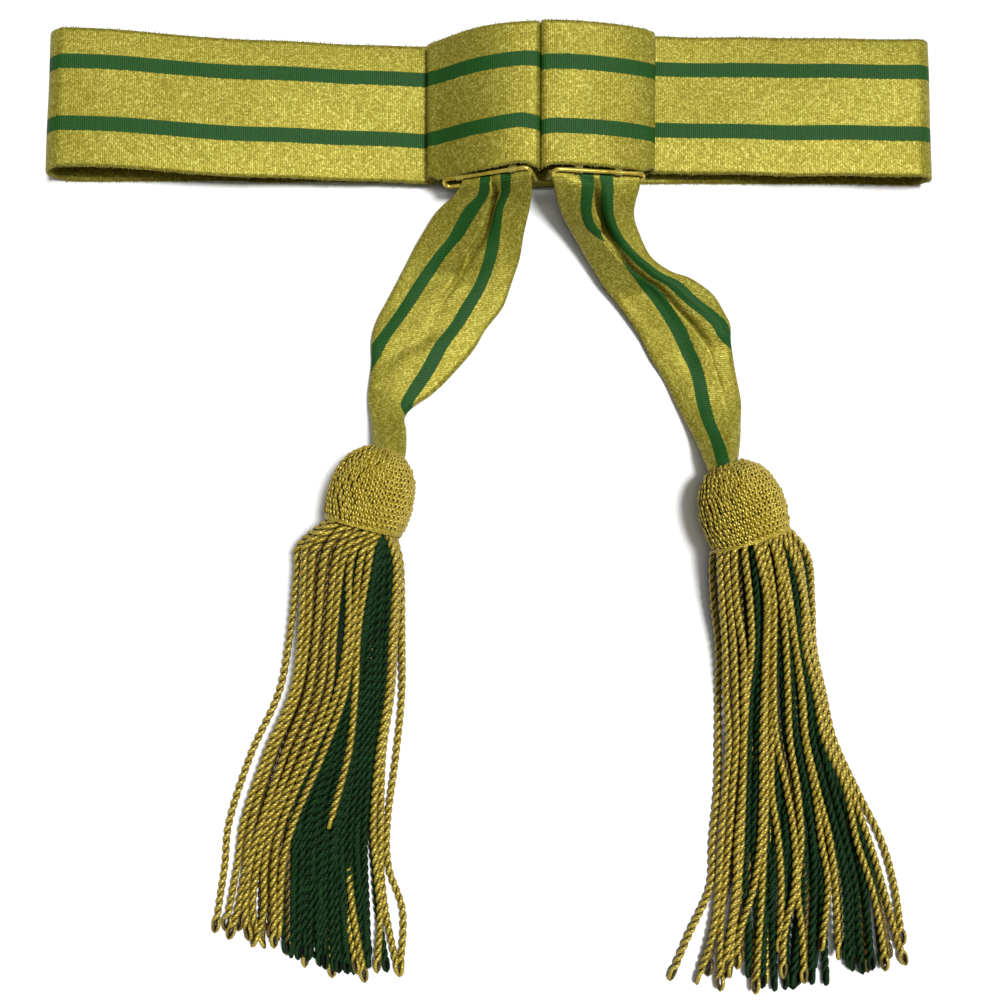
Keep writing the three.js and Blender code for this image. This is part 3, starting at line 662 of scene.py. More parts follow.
RIGHT_TAIL = [
    (26.8, 162.4, 72, 162.1, 37, 37, 37, 35.5, 33, 28, 0, 24, 45, 69, 0.385, 0.485, 0.495, 0.593, 0.7),
    (27.4, 156.4, 70.1, 157.6, 36, 37.5, 37.5, 31, 33, 29, 0, 23.7, 44, 69.5, 0.386, 0.472, 0.48, 0.61, 0.8),
    (28.8, 151.7, 68.2, 150.9, 29, 34.5, 34.5, 22, 31, 25.5, 0, 24, 45, 70, 0.366, 0.464, 0.52, 0.636, 0.9),
    (32.1, 144.9, 67.8, 145, 21, 30, 31, 16, 27, 21.5, 0, 26, 45.5, 70, 0.307, 0.455, 0.525, 0.633, 1),
    (37, 137.6, 70, 138.5, 16, 26, 27.5, 12, 23, 18, 0, 26, 45.5, 70, 0.265, 0.44, 0.52, 0.617, 1),
    (42.7, 128.7, 73.9, 130.8, 12, N, 23.5, 13, 18, 15.5, 0, 15.2, 45, 69, N, 0.385, 0.55, 0.68, 1),
    (49, 118.7, 79.4, 123.7, 10, N, 20, 8, 15, 12, 0, 16, 43.5, 64, N, 0.47, 0.57, 0.775, 1.2),
    (53.8, 111.2, 88.9, 117.9, 8.5, N, 16.5, 6, 12.5, 10, 0, 19, 43, 61, N, 0.525, 0.585, 0.758, 1.2),
    (59.6, 104.2, 99.6, 114.6, 7, 10, 13.5, 4.5, 11, 8, 0, 22, 43.4, 61.5, 0.46, 0.525, 0.575, 0.69, 1.2),
    (66.5, 95.1, 111.7, 106, 6, 9.5, 11.5, 3.5, 9.5, 6.5, 0, 24, 42.3, 63.5, 0.43, 0.507, 0.55, 0.707, 1),
    (73.4, 84.8, 119.3, 93.7, 5, 8, 10, 3, 8.5, 5, 0, 26.2, 40.5, 57, 0.432, 0.575, 0.615, 0.825, 1.1),
    (76.3, 79.1, 120.3, 86, 4.8, 7.8, 9.8, 3.4, 7.4, 5.2, 0, 28.6, 40.1, 54.5, 0.45, 0.645, 0.685, 0.91, 1.2),
    (79.2, 73.4, 121.2, 78.1, 4.6, 7.5, 9.4, 5.5, N, 5.5, 0, 31, 38.7, 47.5, 0.47, 0.73, 0.742, N, 1.4),
    (85.9, 63, 122.7, 65.5, 4.6, 8, 8.8, 7.4, N, 6, 1, 30.5, 32.5, 42.5, 0.4625, 0.73, 0.75, N, 1.6),
    (91.6, 51, 125.1, 51.9, 5.2, 9, 9.8, 9.4, N, 7.4, 3, 31, 32, 40, 0.394, 0.74, 0.76, N, 2),
    (97.5, 39.4, 124.6, 41.4, 8, 12, 13, 13, N, 10.5, 5.5, 30, 31, 38, 0.358, 0.74, 0.76, N, 2.6),
    (101.9, 29.9, 123.7, 30.8, 13, 17, 18, 18, N, 15.5, 8, 28, 29, 33, 0.42, 0.76, 0.8, N, 3.6),
    (105, 20.8, 121.5, 20, 20, 23.5, 24, 24, N, 22, 10, 25, 26, 29.5, 0.48, 0.78, 0.82, N, 5),
    (107, 14.8, 121.5, 13.5, 22, 25.5, 26, 26, N, 24, 10, 25, 26, 29.5, 0.48, 0.78, 0.82, N, 5),
]
TAILS = {  # bar is the part of the ring's length that the lace takes up
    # A dent has its middle, half length along, half width across, turn in degrees and depth
    "left": dict(rows=LEFT_TAIL, bar=(0.21, 0.99),
                 dents=[(-21.0, 117.5, 15, 4.5, 8, 2.6), (-46.0, 81.0, 15, 4.5, 25, 2.0)]),
    "right": dict(rows=RIGHT_TAIL, bar=(0.0, 0.96), dents=[(99.0, 72.0, 14, 4.0, -60, 1.2)]),
}
TAIL_COLUMNS = 96
ROW_STEPS = 9
HEM = 7  # length of the lace behind the ring's lower bar
LEAVING = 14  # degrees under the level at which the lace leaves the bar
LEFT_STRIPE, RIGHT_STRIPE = 19.25, 50.75  # middles of the stripes across the lace


def whole_row(row):
    """A row with its hidden stripes put where the lace turns under."""
    xl, yl, xr, yr, zl, z1, zc, zv, z2, zr, ul, uc, uv, ur, s1, sc, sv, s2, roll = row
    if s1 is None:
        s1, z1 = (sc, zc) if uc <= LEFT_STRIPE + 1 else (0, zl)
    elif z1 is None:
        z1 = zc
    if s2 is None:
        s2, z2 = (1, zr) if ur <= RIGHT_STRIPE + 8 else (sv, zv)
    return xl, yl, xr, yr, zl, z1, zc, zv, z2, zr, ul, uc, uv, ur, s1, sc, sv, s2, roll


def lay_row(row, u):
    """Distance from the left edge, height, depth under the top layer of each place u, and the row's width."""
    xl, yl, xr, yr, zl, z1, zc, zv, z2, zr, ul, uc, uv, ur, s1, sc, sv, s2, roll = row
    width = math.hypot(xr - xl, yr - yl)
    knots = [(ul, 0, zl), (uc, sc, zc), (uv, sv, zv), (ur, 1, zr)]
    # The lace can bunch up, but it can't stretch
    if ul + 1 < LEFT_STRIPE < uc - 1:
        s1 = min(max(s1, sc - (uc - LEFT_STRIPE) / width), (LEFT_STRIPE - ul) / width)
        knots.append((LEFT_STRIPE, s1, z1))
    if uv + 1 < RIGHT_STRIPE < ur - 1:
        s2 = max(min(s2, sv + (RIGHT_STRIPE - uv) / width), 1 - (ur - RIGHT_STRIPE) / width)
        knots.append((RIGHT_STRIPE, s2, z2))
    if zv + 1 < z2 and uv + 3 < RIGHT_STRIPE:
        knots.append((uv + 2.0, sv + min(2.0 / width, 0.4 * (s2 - sv)), zv + 0.75 * (z2 - zv)))
    ku, ks, kz = np.array(sorted(knots), float).T
    s = np.interp(u, ku, ks) * width
    top = np.interp(s / width, ks, kz)
    z = top.copy()
    hidden = (uv - uc) - (sv - sc) * width
    if hidden > 1.0:
        within = (u > uc) & (u < uv)
        t = (u[within] - uc) / (uv - uc)
        s[within] = (sc + (sv - sc) * t) * width - hidden / 2 * np.sin(math.pi * t)
        left = ku <= uc
        follow = np.interp(np.minimum(s[within], sc * width) / width, ks[left], kz[left])
        drop = (zc - zv) * (0.48 * smoothstep(t / 0.14) + 0.52 * smoothstep((t - 0.44) / 0.16))
        z[within] = follow - drop
        top[within] = follow
    for mirrored in (False, True):
        past = (u - ur) if mirrored else (ul - u)
        under = past > 0
        room = 0.46 * width
        longest = max(float(past.max()), 1e-6)
        squeeze = min(1.0, room / longest)
        reach = (np.sqrt(past[under] ** 2 + (0.5 * roll) ** 2) - 0.5 * roll) * squeeze
        s[under] = (width - reach) if mirrored else reach
        top[under] = np.interp(s[under] / width, ks, kz)
        z[under] = top[under]
        z = z - roll * (1 + np.sin(np.clip(past / roll, -math.pi / 2, math.pi / 2)))
    return s, z, top - z, width


def build_tail(side):
    tail = TAILS[side]
    u = np.linspace(0, LACE_WIDTH, TAIL_COLUMNS)
    upper_bar, along, down, face = ring_frame(side)
    lower_bar = upper_bar + down * (RING_WIDTH - 2 * WIRE_RADIUS)
    keys = np.array([whole_row(row) for row in tail["rows"]], float)
    front = []
    for row in catmull_rom(keys[1:], ROW_STEPS):
        s, z, _, width = lay_row(row, u)
        s, z = soften(s, 1), soften(z, 1)
        start, end = row[0:2], row[2:4]
        plan = start + (end - start) * (s / width)[:, None]
        front.append(np.column_stack([plan, z]))
    s, _, depth, width = lay_row(keys[0], u)
    first_place, first_depth = soften(s, 2) / width, soften(depth, 2)
    # The lace goes round the ring's lower bar from a hem behind it, and leaves it just under the level
    leave = math.degrees(math.atan2(face[2], -down[2])) + LEAVING
    first, last = tail["bar"]
    place = (first + (last - first) * first_place - 0.5) * RING_LENGTH
    radial = WIRE_RADIUS + 0.75 + (first_depth.max() - first_depth) * 0.3
    wrap = []
    for hem, degrees in [(HEM, -90), (HEM / 2, -90)] + [(0, angle) for angle in np.linspace(-90, leave, 6)]:
        angle = math.radians(degrees)
        wrap.append(lower_bar + place[:, None] * along + (hem - radial * math.cos(angle))[:, None] * down
                    + (radial * math.sin(angle))[:, None] * face)
    joined = catmull_rom(np.array([wrap[-2], wrap[-1], front[0], front[2]]), 5)[5:10]
    front = soften(np.concatenate([joined, front]), 4)
    grid = np.concatenate([catmull_rom(np.array(wrap), 2)[:-1], front])
    for x, y, length, width, turn, depth in tail["dents"]:
        a = math.radians(turn)
        dx, dy = grid[..., 0] - x, grid[..., 1] - y
        p, q = dx * math.cos(a) + dy * math.sin(a), -dx * math.sin(a) + dy * math.cos(a)
        grid[..., 2] -= depth * np.exp(-(p / length) ** 2 - (q / width) ** 2)
    where = distances(grid[:, TAIL_COLUMNS // 2])
    fine = ripple(u[None, :], where[:, None], SEEDS["tail_wave"], 16) * 0.22
    grid[..., 2] += fine * smoothstep((where - 22) / 20)[:, None]
    grid[..., 2] = np.maximum(grid[..., 2], LACE_THICKNESS / 2 + 0.1)
    along_lace = distances(soften(grid[:, TAIL_COLUMNS // 4], 4))
    piece = stand_for(lace_sheet(f"tail_{side}_lace", grid, u, along_lace), f"tail_{side}")
    selvedge(f"tail_{side}_selvedge", grid, SEEDS["tail_selvedge"])


# Tassel heads
HEAD_RADIUS, HEAD_LENGTH = 22.3, 42.0
HEAD_PROFILE = [  # distance from the narrow end and radius
    (0, 7.2), (1.0, 9.2), (4, 13.6), (8.5, 17.5), (14, 20.1), (20, 21.6), (27, 22.0), (33, 21.6), (38, 20.8),
    (42, 19.2),
]
CORE_DEPTH, HEAD_CORE_SIDES = 2.0, 48  # of the core under the stitches, near black as painted shade in the gaps between them
HEADS = {"left": (-64.3, 6.0, -15.3), "right": (121.8, -1.3, 17.0)}  # middle, and turn from straight down
STITCH_ROWS = 17
STITCH_HOOK = np.array([  # across and along in stitches, and height over the profile in mm
    (-0.02, 0.62, -2.3), (-0.20, 0.34, -1.2), (-0.30, 0.0, -0.65), (-0.24, -0.34, -0.55),
    (-0.02, -0.48, -0.85), (0.18, -0.36, -1.5), (0.20, -0.12, -2.3),
])
HOOK_RADIUS, LEG_RADIUS, BINDING_RADIUS = 0.74, 0.62, 0.42
STITCH_LEG = np.array([(0.10, 0.54, -2.3), (0.22, 0.26, -1.4), (0.36, -0.04, -1.3), (0.48, -0.30, -2.1)])


def head_frame(side):
    """The head's middle, its axis down the page and the direction across it."""
    x, y, turn = HEADS[side]
    sine, cosine = math.sin(math.radians(turn)), math.cos(math.radians(turn))
    return np.array([x, y, HEAD_RADIUS]), np.array([sine, -cosine, 0]), np.array([cosine, sine, 0])


def head_surface(side):
    """The profile's length, a function for a point at a distance, angle and rise on it, and its radius."""
    centre, axis, across = head_frame(side)
    up = np.array([0, 0, 1.0])
    dense = resample(catmull_rom(np.array(HEAD_PROFILE, float), 10), 0.1)
    at = distances(dense)
    slopes = unit(np.gradient(dense, axis=0))

    def surface(s, angle, rise):
        a, r = (np.interp(s, at, dense[:, k]) for k in (0, 1))
        slope_a, slope_r = (np.interp(s, at, slopes[:, k]) for k in (0, 1))
        a = a - slope_r * rise
        r = r + slope_a * rise
        return (centre + axis * (a - HEAD_LENGTH / 2)[..., None]
                + (across * np.cos(angle)[..., None] + up * np.sin(angle)[..., None]) * r[..., None])

    return at[-1], surface, lambda s: np.interp(s, at, dense[:, 1])


def build_head(side):
    length, surface, radius_at = head_surface(side)
    rng = np.random.default_rng(SEEDS[f"{side}_head"])
    angle = np.linspace(0, 2 * math.pi, HEAD_CORE_SIDES + 1)[:-1]
    rings = [surface(s + 0 * angle, angle, -CORE_DEPTH) for s in np.linspace(0, length, 40)]
    stand_for(bundle(f"head_{side}_core", rings, CORE, turned=True), f"tassel_head_{side}", slot="crochet")
    # Crochet stitches, each a fat hook and a leg beside it
    lines, radii, outwards = [], [], []
    pitch = length / STITCH_ROWS

    def lay(s, angle, rise, radius):
        line = surface(s, angle, rise)
        lines.append(line)
        radii.append(radius)
        outwards.append(unit(surface(s, angle, rise + 1) - line))

    for row in range(STITCH_ROWS):
        s0 = pitch * (row + 0.5)
        count = max(10, int(round(2 * math.pi * radius_at(s0) / pitch)))
        step = 2 * math.pi / count
        for k in range(count):
            a0 = step * (k + 0.22 * row + rng.normal(0, 0.09))
            tall, lean = rng.normal(0, 0.26), rng.normal(0, 0.13)
            for part, radius in ((STITCH_HOOK, HOOK_RADIUS), (STITCH_LEG, LEG_RADIUS)):
                size = rng.uniform(0.92, 1.1)
                across = part[:, 0] * size + lean * part[:, 1]
                lay(s0 + pitch * part[:, 1] * size, a0 + step * across, part[:, 2] + tall,
                    radius * rng.uniform(0.92, 1.1))
    # A thin cord is bound twice round the lower end
    turns = np.linspace(0, 4 * math.pi, 300)
    for phase in (0, math.pi):
        wind = 9 * turns * radius_at(length) / 10 + phase
        s = length - 2.0 + 1.6 * turns / turns[-1] + 0.35 * np.cos(wind)
        lay(s, turns, -0.15 + 0.35 * np.sin(wind), BINDING_RADIUS)
    stand_for(tubes(f"head_{side}_stitches", lines, radii, CROCHET, outwards=outwards), slot="crochet")


# Tassel skirts
CORD_RADIUS = 1.98
GREEN_RADIUS = 2.05
CORD_PITCH = 9.4
PLY = 0.58  # radius of a ply against its cord's
# Places are given as the camera sees them against the table. A cord has its start under the head, its x at
# each level down the page, its end, and how far it lies under the topmost cords.
LEFT_GOLD = [
    ((-87.5, -11), [-105, -106.5, -110, -116, -130.5, -142, -144.5, -147.5], (-149.5, -225.5), 0),
    ((-85, -11), [-101, -103, -104.5, -109, -122.5, -134.5, -138, -141.5], (-144, -224.5), 0),
    ((-82.5, -11), [-96, -99, -101, -106, -119, -130, -133.5, -138], (-142, -229), 2.2),
    ((-78.5, -11.5), [-89.5, -93, -96, -100.5, -113, -125, -131.5, -133.5], (-131.5, -229.5), 0),
    ((-75, -11.5), [-83.5, -87, -90.5, -95, -108, -121.5, -127.5, -129.5], (-124, -233.5), 1.5),
    ((-72, -12.5), [-79, -83.5, -87, -90, -102.5, -118.5, -123.5, -124], (-129.5, -233), 0),
    ((-67.5, -14.5), [-75, -79, -80, -85.5, -98.5, -114, -118.5, -118.5], (-118.5, -233.5), 0),
    ((-64.5, -16.5), [-70.5, -74, -77.5, -81.5, -93, -108, -114, -116], (-116, -228), 0.6),
    ((-62.5, -17), [-67, -69.5, -74.5, -76, -79.5, -88, -93.5, -95], (-89.8, -171.5), 0.6),
    ((-61, -19), [-57, -54.5, -56.5, -58.5, -63.5, -66.5, -65, -63], (-64.5, -246.5), 0),
    ((-59.5, -19), [-56, -53, -55, -57, -61.5, -62.5, -62.5, -60], (-53.5, -248), 1),
    ((-57.5, -19), [-54.5, -52, -51.5, -51.5, -54.5, -59, -58.5, -51], (-52.5, -248.5), 0),
]
LEFT_LATE = [  # these come up between the green cords, at the level that stands last
    ((-62.5, -18), [-63.4, -65.8, -71, -78, -85.5, -96, -98.5, -99.5], (-102.3, -243.5), 2.8, -240),
    ((-62, -18.5), [-62.8, -65, -69.5, -73.5, -78.5, -86.5, -88.5, -88.5], (-88, -249), 2.8, -242),
    ((-63, -18), [-63, -64.5, -66.5, -69, -73, -78, -79, -77], (-71, -251.5), 0.5, -196),
    ((-62, -18), [-62, -63, -65.5, -68, -72, -80.5, -81, -80], (-75, -247), 0.8, -225),
]
LEFT_GREEN = [
    ((-62.5, -17.5), [-64, -66.5, -72.5, -84, -95.5, -109.5, -112.5, -113.5], (-112.5, -236.5), 3.2),
    ((-62.5, -17.5), [-63.8, -66.3, -72, -82, -92, -105, -107.5, -108.5], (-109.5, -238.5), 2.6),
    ((-62.5, -18), [-63.6, -66, -71.5, -80, -89, -101, -104, -105.5], (-106, -239.5), 3),
    ((-62.5, -18), [-63.4, -65.8, -71, -78, -85.5, -96, -98.5, -99.5], (-100.5, -240), 2.5),
    ((-62, -18), [-63.2, -65.5, -70.5, -76, -82, -91.5, -94, -94.5], (-94.5, -243), 2.8),
    ((-62, -18.5), [-62.8, -65, -69.5, -73.5, -78.5, -86.5, -88.5, -88.5], (-87, -245.5), 2.3),
    ((-62, -18.5), [-62.2, -64, -68, -71.5, -75.5, -82, -83, -82], (-80, -247), 2.6),
    ((-61.5, -18.5), [-61.8, -63, -66, -69.5, -73, -78, -78.5, -77], (-75, -246), 2.2),
    ((-61, -19), [-61, -61.5, -64.5, -67, -70.5, -74.6, -74.8, -73.8], (-73, -242), 2.6),
    ((-60.5, -19), [-60, -60, -62, -64.5, -68, -71, -71, -70], (-69.5, -244), 2.3),
    ((-59.5, -19), [-58.5, -58, -59.5, -61.5, -65.5, -67.5, -66, -64], (-59.5, -246), 2.8),
    ((-62, -18), [-63.5, -65.9, -71.2, -79, -87.2, -98.2, -100.8, -102], (-103.2, -239), 3.6),
    ((-62, -18), [-63.1, -65.2, -70, -74.8, -80.2, -89, -91.6, -91.8], (-91.5, -244.5), 3.4),
    ((-62, -18), [-62.5, -64.5, -68.8, -72.5, -77, -84.2, -85.8, -85.6], (-84.5, -246.5), 3.4),
]
RIGHT_GOLD = [
    ((116, -23.5), [111.5, 112, 114.5, 114.5, 114.5, 114, 111.5, 110, 99], (89.5, -250.5), 0.5),
    ((119.5, -22), [115.5, 116.5, 118, 118.5, 120, 118, 116, 114.5, 111.5], (103.5, -252.5), 0),
    ((122, -20.5), [119, 120.5, 122.5, 123.5, 124, 122, 120, 117.5, 115.5], (115.5, -256), 0.6),
    ((125.5, -19), [123, 124, 127.5, 128, 128, 127, 124.5, 123.5, 120.5], (117.5, -246), 0),
    ((129, -17.5), [128.5, 131, 132, 129.5, 128, 127.5, 126.5, 125, 122], (120.5, -249), 0.4),
    ((133.5, -16.5), [135.5, 140, 139.5, 138.5, 137.5, 137.5, 136.5, 133, 125.5], (124.5, -244.5), 0),
    ((137, -16), [140, 143.5, 143.5, 143.5, 145, 150.5, 154.5, 154.5, 149], (148.5, -249), 0),
    ((140, -15.5), [145, 151, 155, 158.5, 160.5, 166.5, 173, 176, 177], (177.5, -239.5), 0),
    ((144, -15), [153.5, 159, 160, 165.5, 170, 181.5, 187, 195, 200], (202, -245.5), 0),
    ((146.5, -14.5), [156, 160, 162.5, 168, 172.5, 184, 193.5, 201, 207.5], (212.5, -242.5), 0.7),
    ((148.5, -14.5), [161, 163.5, 164.5, 169.5, 175, 187, 200, 207, 209], (211, -232), 0),
    ((139, -16), [139.5, 142, 142.5, 142.5, 142.5, 142.5, 146, 147.5, 147], (146.5, -236), 1.2),
    ((138, -16), [137.5, 140, 139.5, 139, 139, 139.5, 138.5, 137.5, 136], (134, -257.5), 1),
    ((138, -16), [139.5, 142, 141.5, 141.5, 141.5, 141, 141, 140.5, 140], (139, -252.5), 6),
    ((141, -15.5), [145, 148, 150, 151, 152, 156, 158, 156, 158.5], (159.5, -252), 0.8),
    ((142, -15.5), [146, 150, 153, 154, 156, 161, 164, 164, 163], (162.5, -248), 6),
    ((143, -15), [148, 152, 155, 158, 160, 165, 168.5, 172, 169.5], (168.5, -235), 1),
]
RIGHT_GREEN = [
    ((131, -17), [133, 134.5, 134.5, 131.5, 130.5, 130, 129.5, 128.5, 130.5], (130, -249), 2),
    ((132, -17), [135, 136, 136.5, 135.5, 135, 134, 133, 134, 135], (134.5, -254), 2.2),
    ((134, -16.5), [137.5, 140, 140.5, 140.5, 141, 140.5, 139.5, 138.5, 138.5], (137.5, -254.5), 2.6),
    ((136, -16.5), [138.5, 141.5, 142, 142, 143, 145.5, 144.5, 143, 143], (144, -256), 2.3),
    ((137, -16), [139, 142, 143, 144, 146, 149.5, 150, 149, 149], (150, -254), 2.8),
    ((138.5, -16), [146.5, 147.5, 148.5, 149, 151, 156, 159.5, 160, 156.5], (153, -254), 2.2),
    ((139.5, -16), [147.5, 150, 152, 153, 155.5, 160.5, 164, 165, 163.5], (163.5, -252.5), 2.5),
    ((140, -15.5), [148.5, 152.5, 154.5, 157, 159.5, 164, 168.5, 170, 170], (171, -253), 2.8),
    ((141, -15.5), [151, 155, 157.5, 161.5, 164, 170.5, 177.5, 181.5, 182.5], (183.5, -244), 2.2),
    ((142, -15), [152, 157, 159, 163.5, 168, 175, 181.5, 186.5, 188], (190, -247), 2.5),
    ((143, -15), [153, 158.5, 161, 166.5, 171, 179, 186, 191, 193.5], (195, -245), 2.2),
    ((146, -14.5), [157.5, 160.5, 161, 164, 168, 178, 190, 196.5, 199], (200.5, -243), 1.6),
]
# last is the gold cord at the right edge, and inner the part of the width that the lower cords fill
SKIRTS = {
    "left": dict(
        gold=LEFT_GOLD, late=LEFT_LATE, green=LEFT_GREEN, last=11, inner=(0.10, 0.84),
        levels=[-23.5, -36.5, -69, -101, -133, -168.5, -192.5, -216.5],
        outline=([-105, -106.5, -110, -116, -130.5, -142, -144.5, -147.5],
                 [-54.5, -52, -51.5, -51.5, -54.5, -59, -58.5, -53])),
    "right": dict(
        gold=RIGHT_GOLD, late=[], green=RIGHT_GREEN, last=10, inner=(0.08, 0.93),
        levels=[-29, -53, -77, -101, -125.5, -152, -178.5, -203.5, -228],
        outline=([111.5, 112, 114.5, 114.5, 114.5, 114, 111.5, 110, 102],
                 [162, 163, 164, 169.5, 175, 187, 200, 207, 212])),
}
# Height of the skirts' tops down the page
SKIRT_TOP = ([-260, -207, -185, -160, -134, -108, -83, -58, -38, -25, -10],
             [9.6, 10.5, 11, 12, 14, 17.5, 22.5, 29, 36, 38.5, 37])
GREEN_DEEPER = 0.9  # how much deeper the green cords lie than their table says
GREEN_SINK, GREEN_LEVEL = 4.0, -85.0  # every other green cord is sunk by this down to the level
LATE_SINK = 5.5
LAYERS, LAYER_CORDS = 2, 15  # of guessed cords under the ones in the tables
LAYER_DEPTH, LAYER_STEP, LAYER_SINK, LAYER_LEVEL = 3.6, 3.0, 2.0, -155.0
HEAD_RIM = 32.0  # height of the topmost cords where they come out from under the head's rim
LOOP_LENGTH = 6.5  # of a cord's end, where its two plies stand apart
THREAD_STEP, LAYER_THREAD_STEP = 1.2, 1.5  # between the points of a thread
SKIRT_CORE_LEVELS = [-21, -26, -34, -44, -56, -70, -86, -102, -118, -134]
SKIRT_CORE_SIDES, SKIRT_CORE_DEPTH = 32, 6.5


def skirt_height(side, x, y, depth):
    """Height of a cord's middle, from where it is seen and how far it lies under the top."""
    skirt = SKIRTS[side]
    levels = np.array(skirt["levels"])[::-1]
    left, right = (np.interp(y, levels, np.array(edge)[::-1]) for edge in skirt["outline"])
    top = np.interp(y, *SKIRT_TOP)
    part = np.clip(2 * (x - left) / (right - left) - 1, -1, 1)
    spread = smoothstep((-50 - y) / 60)
    edge = 0.5 * top * (1 - spread) + 2 * CORD_RADIUS * spread
    height = edge + (top - edge) * np.sqrt(1 - np.abs(part) ** 3)
    return np.maximum(height - CORD_RADIUS - depth, CORD_RADIUS)


def under_camera(seen, z):
    """Points at heights z that the camera sees at these places on the table."""
    return np.column_stack([seen * (1 - z / CAMERA_HEIGHT)[:, None], z])


def cord_path(side, start, line, end, depth, sink, level):
    """A cord's middle line. A sunk cord lies deeper as far down as a level, and then comes up."""
    levels = SKIRTS[side]["levels"]
    seen = np.array([(x, y) for x, y in zip(line, levels) if y > end[1] + 12] + [end], float)
    z = skirt_height(side, seen[:, 0], seen[:, 1], depth + sink * smoothstep((seen[:, 1] - level + 30) / 60))
    axis = head_frame(side)[1]
    seen = np.concatenate([[start - 3.0 * axis[:2]], seen])
    z = np.concatenate([[HEAD_RIM - depth - sink], z])
    return catmull_rom(under_camera(seen, z), 8)


def twisted(path, rng, step, loop, radius):
    """One thread that runs down a path, turns in a small loop at its end and twists back up round itself.

    Also the direction away from the cord's middle at each of its points.
    """
    line = resample(path, step)
    tangent = unit(np.gradient(line, axis=0))
    side = unit(np.cross(tangent, [0, 0, 1.0]))
    up = np.cross(side, tangent)
    s = distances(line)
    left = s[-1] - s
    spread = radius * (0.45 + loop * np.sin(math.pi * np.clip(left / LOOP_LENGTH, 0, 1)))
    phase = 2 * math.pi * s / CORD_PITCH + rng.uniform(0, 2 * math.pi)
    phase = phase + 0.6 * ripple(s, 0 * s, int(rng.integers(1e6)), 60)
    phase = np.where(left < 5, np.interp(s[-1] - 5, s, phase), phase)
    around = side * np.cos(phase)[:, None] - up * np.sin(phase)[:, None]
    one, two = line + around * spread[:, None], line - around * spread[:, None]
    tip = line[-1] + tangent[-1] * 0.9
    thread = np.concatenate([one, tip[None], two[::-1]])
    thread[:, 2] = np.maximum(thread[:, 2], radius * PLY)
    outward = np.concatenate([around, tangent[-1:], -around[::-1]])
    return thread, outward


def lower_cords(side, rng):
    """Paths of the cords under the ones that the tables give, with whether each is green."""
    skirt = SKIRTS[side]
    left, right = (np.array(edge, float) for edge in skirt["outline"])
    start_left, start_right = (np.array(skirt["gold"][n][0]) for n in (0, skirt["last"]))
    inner_left, inner_right = skirt["inner"]
    ends = sorted(cord[2] for cord in skirt["gold"] + skirt["green"])
    for layer in range(LAYERS):
        for n in range(LAYER_CORDS):
            part = (n + 0.5 + rng.uniform(-0.25, 0.25)) / LAYER_CORDS
            drift = np.cumsum(rng.normal(0, 0.010, len(left)))
            across = inner_left + (inner_right - inner_left) * np.clip(part + drift, 0, 1)
            line = left + (right - left) * across
            start = start_left + (start_right - start_left) * part
            last = np.interp(line[-1], [x for x, _ in ends], [y for _, y in ends])
            end = (line[-1] + 0.4 * (line[-1] - line[-2]), last + rng.uniform(-2, 7))
            if side == "left":
                is_green = part > 0.40
            else:
                is_green = 0.25 < part < 0.85 and rng.uniform() < 0.8
            depth = LAYER_DEPTH + LAYER_STEP * layer
            yield cord_path(side, start, line, end, depth, LAYER_SINK, LAYER_LEVEL), is_green


def build_skirt_core(side):
    """A tapered bundle that fills the skirt under its cords, near black as painted shade in the gaps between
    them.
    """
    skirt = SKIRTS[side]
    around = np.linspace(0, 2 * math.pi, SKIRT_CORE_SIDES + 1)[:-1]
    bottom = 1.2
    rings = []
    for y in SKIRT_CORE_LEVELS:
        left, right = (np.interp(y, skirt["levels"][::-1], edge[::-1]) for edge in skirt["outline"])
        top = max(np.interp(y, *SKIRT_TOP) - SKIRT_CORE_DEPTH, 4.0)
        middle, half = (left + right) / 2, (right - left) / 2 - 3.0 - 12 * smoothstep((-50 - y) / 80)
        if y > -25:
            half = half - 6
        z = bottom + (top - bottom) * (0.5 + 0.5 * np.sin(around))
        seen = np.column_stack([middle + half * np.cos(around), np.full(SKIRT_CORE_SIDES, y)])
        rings.append(under_camera(seen, z))
    stand_for(bundle(f"skirt_{side}_core", rings, CORE), slot="cord")


def build_skirt(side):
    skirt = SKIRTS[side]
    rng = np.random.default_rng(SEEDS[f"{side}_skirt"])
    threads = {"gold": [], "green": [], "lower_gold": [], "lower_green": []}
    for kind, radius in (("gold", CORD_RADIUS), ("green", GREEN_RADIUS)):
        for n, (start, line, end, depth) in enumerate(skirt[kind]):
            loop = rng.uniform(0.1, 0.45) if kind == "gold" else 0.2
            depth = depth + (GREEN_DEEPER if kind == "green" else 0)
            sink = GREEN_SINK if kind == "green" and n % 2 else 0.0
            path = cord_path(side, start, line, end, depth, sink, GREEN_LEVEL)
            threads[kind].append(twisted(path, rng, THREAD_STEP, loop, radius))
    for start, line, end, depth, level in skirt["late"]:
        path = cord_path(side, start, line, end, depth, LATE_SINK, level)
        threads["gold"].append(twisted(path, rng, THREAD_STEP, 0.3, CORD_RADIUS))
    for path, is_green in lower_cords(side, rng):
        kind, radius = ("lower_green", GREEN_RADIUS) if is_green else ("lower_gold", CORD_RADIUS)
        threads[kind].append(twisted(path, rng, LAYER_THREAD_STEP, rng.uniform(0.1, 0.5), radius))
    for kind, lines in threads.items():
        ply = PLY * (GREEN_RADIUS if kind.endswith("green") else CORD_RADIUS)
        material = {"gold": GOLD_CORD, "lower_gold": SHADED_CORD}.get(kind, GREEN_CORD)
        piece = tubes(f"skirt_{side}_{kind}", [line for line, _ in lines], [ply] * len(lines), material,
                      sides=4 if kind.startswith("lower") else 6, outwards=[outward for _, outward in lines])
        stand_for(piece, *([f"tassel_skirt_{side}"] if kind == "gold" else []), slot="cord")
    build_skirt_core(side)


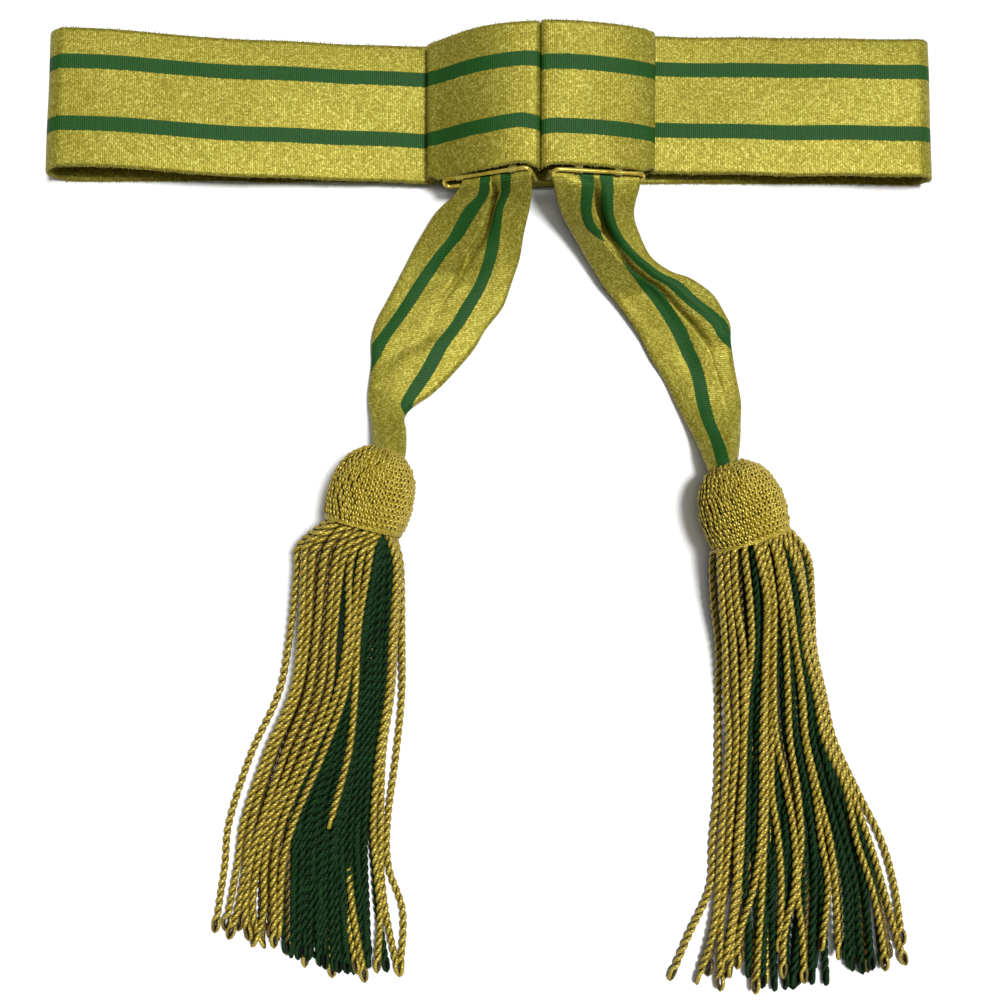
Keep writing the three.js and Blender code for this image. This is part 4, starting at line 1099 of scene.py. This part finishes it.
build_band()
for side in ("left", "right"):
    build_loop(side)
    build_ring(side)
    build_tail(side)
    build_head(side)
    build_skirt(side)
clasp = bpy.data.objects["waist_clasp"]
clasp.data.materials.clear()
clasp.data.materials.append(STEEL)


# Table, light and camera
TABLE_REACH = 3.0  # metres
WALL_STRENGTH = 16.0  # of the room's far wall, which the camera sees and nothing is lit by
LIGHTS = [  # name, the place it comes from, how wide it is in degrees, strength
    ("key_light", (0.27, 0.08, 1.00), 12, 3.45),
    ("top_light", (-0.06, 0.03, 1.55), 30, 0.62),
]


def build_stage():
    mesh = bpy.data.meshes.new("table_top")
    corners = [(-TABLE_REACH, -TABLE_REACH, 0), (TABLE_REACH, -TABLE_REACH, 0), (TABLE_REACH, TABLE_REACH, 0),
               (-TABLE_REACH, TABLE_REACH, 0)]
    mesh.from_pydata(corners, [], [(0, 1, 2, 3)])
    table = bpy.data.objects.new("table_top", mesh)
    bpy.context.scene.collection.objects.link(table)
    shader = Shader("pale_table")
    grain = shader.noise(shader.place(), 60.0, 3.0)
    mesh.materials.append(shader.set(
        Base_Color=shader.ramp(grain, [(0.3, (0.86, 0.86, 0.86)), (0.7, (0.89, 0.89, 0.885))]), Roughness=0.8,
        Specular_IOR_Level=0.2))


def far_light(name, place, width, strength):
    """A soft light far off in the direction of a place, as wide as an angle in degrees."""
    light = bpy.data.lights.new(name, "SUN")
    light.angle = math.radians(width)
    light.energy = strength
    lamp = bpy.data.objects.new(name, light)
    lamp.location = place
    lamp.rotation_euler = Vector(-np.array(place)).to_track_quat("-Z", "Y").to_euler()
    bpy.context.scene.collection.objects.link(lamp)


def build_light_and_camera():
    for light in LIGHTS:
        far_light(*light)
    world = bpy.data.worlds.new("studio")
    world.use_nodes = True
    tree = world.node_tree
    background = tree.nodes["Background"]
    # The room is bright overhead and dim near the horizon, and its far wall is seen as pale
    where = tree.nodes.new("ShaderNodeTexCoord")
    parts = tree.nodes.new("ShaderNodeSeparateXYZ")
    fade = tree.nodes.new("ShaderNodeMapRange")
    for name, value in (("From Min", 0.25), ("From Max", 0.95), ("To Min", 0.04), ("To Max", 0.52)):
        fade.inputs[name].default_value = value
    path = tree.nodes.new("ShaderNodeLightPath")
    wall = tree.nodes.new("ShaderNodeMath")
    wall.operation = "MULTIPLY"
    wall.inputs[1].default_value = WALL_STRENGTH
    brighter = tree.nodes.new("ShaderNodeMath")
    brighter.operation = "MAXIMUM"
    for output, socket in ((where.outputs["Generated"], parts.inputs[0]),
                           (parts.outputs["Z"], fade.inputs["Value"]),
                           (path.outputs["Is Camera Ray"], wall.inputs[0]),
                           (wall.outputs[0], brighter.inputs[0]), (fade.outputs[0], brighter.inputs[1]),
                           (brighter.outputs[0], background.inputs["Strength"])):
        tree.links.new(output, socket)
    scene = bpy.context.scene
    scene.world = world
    scene.view_settings.view_transform = "Standard"
    camera = bpy.data.cameras.new("camera")
    camera.sensor_width = 36.0
    camera.lens = 36.0 * CAMERA_HEIGHT / VIEW_WIDTH
    holder = bpy.data.objects.new("camera", camera)
    holder.location = (ORIGIN[0] * MM, ORIGIN[1] * MM, CAMERA_HEIGHT * MM)
    scene.collection.objects.link(holder)
    scene.camera = holder


build_stage()
build_light_and_camera()
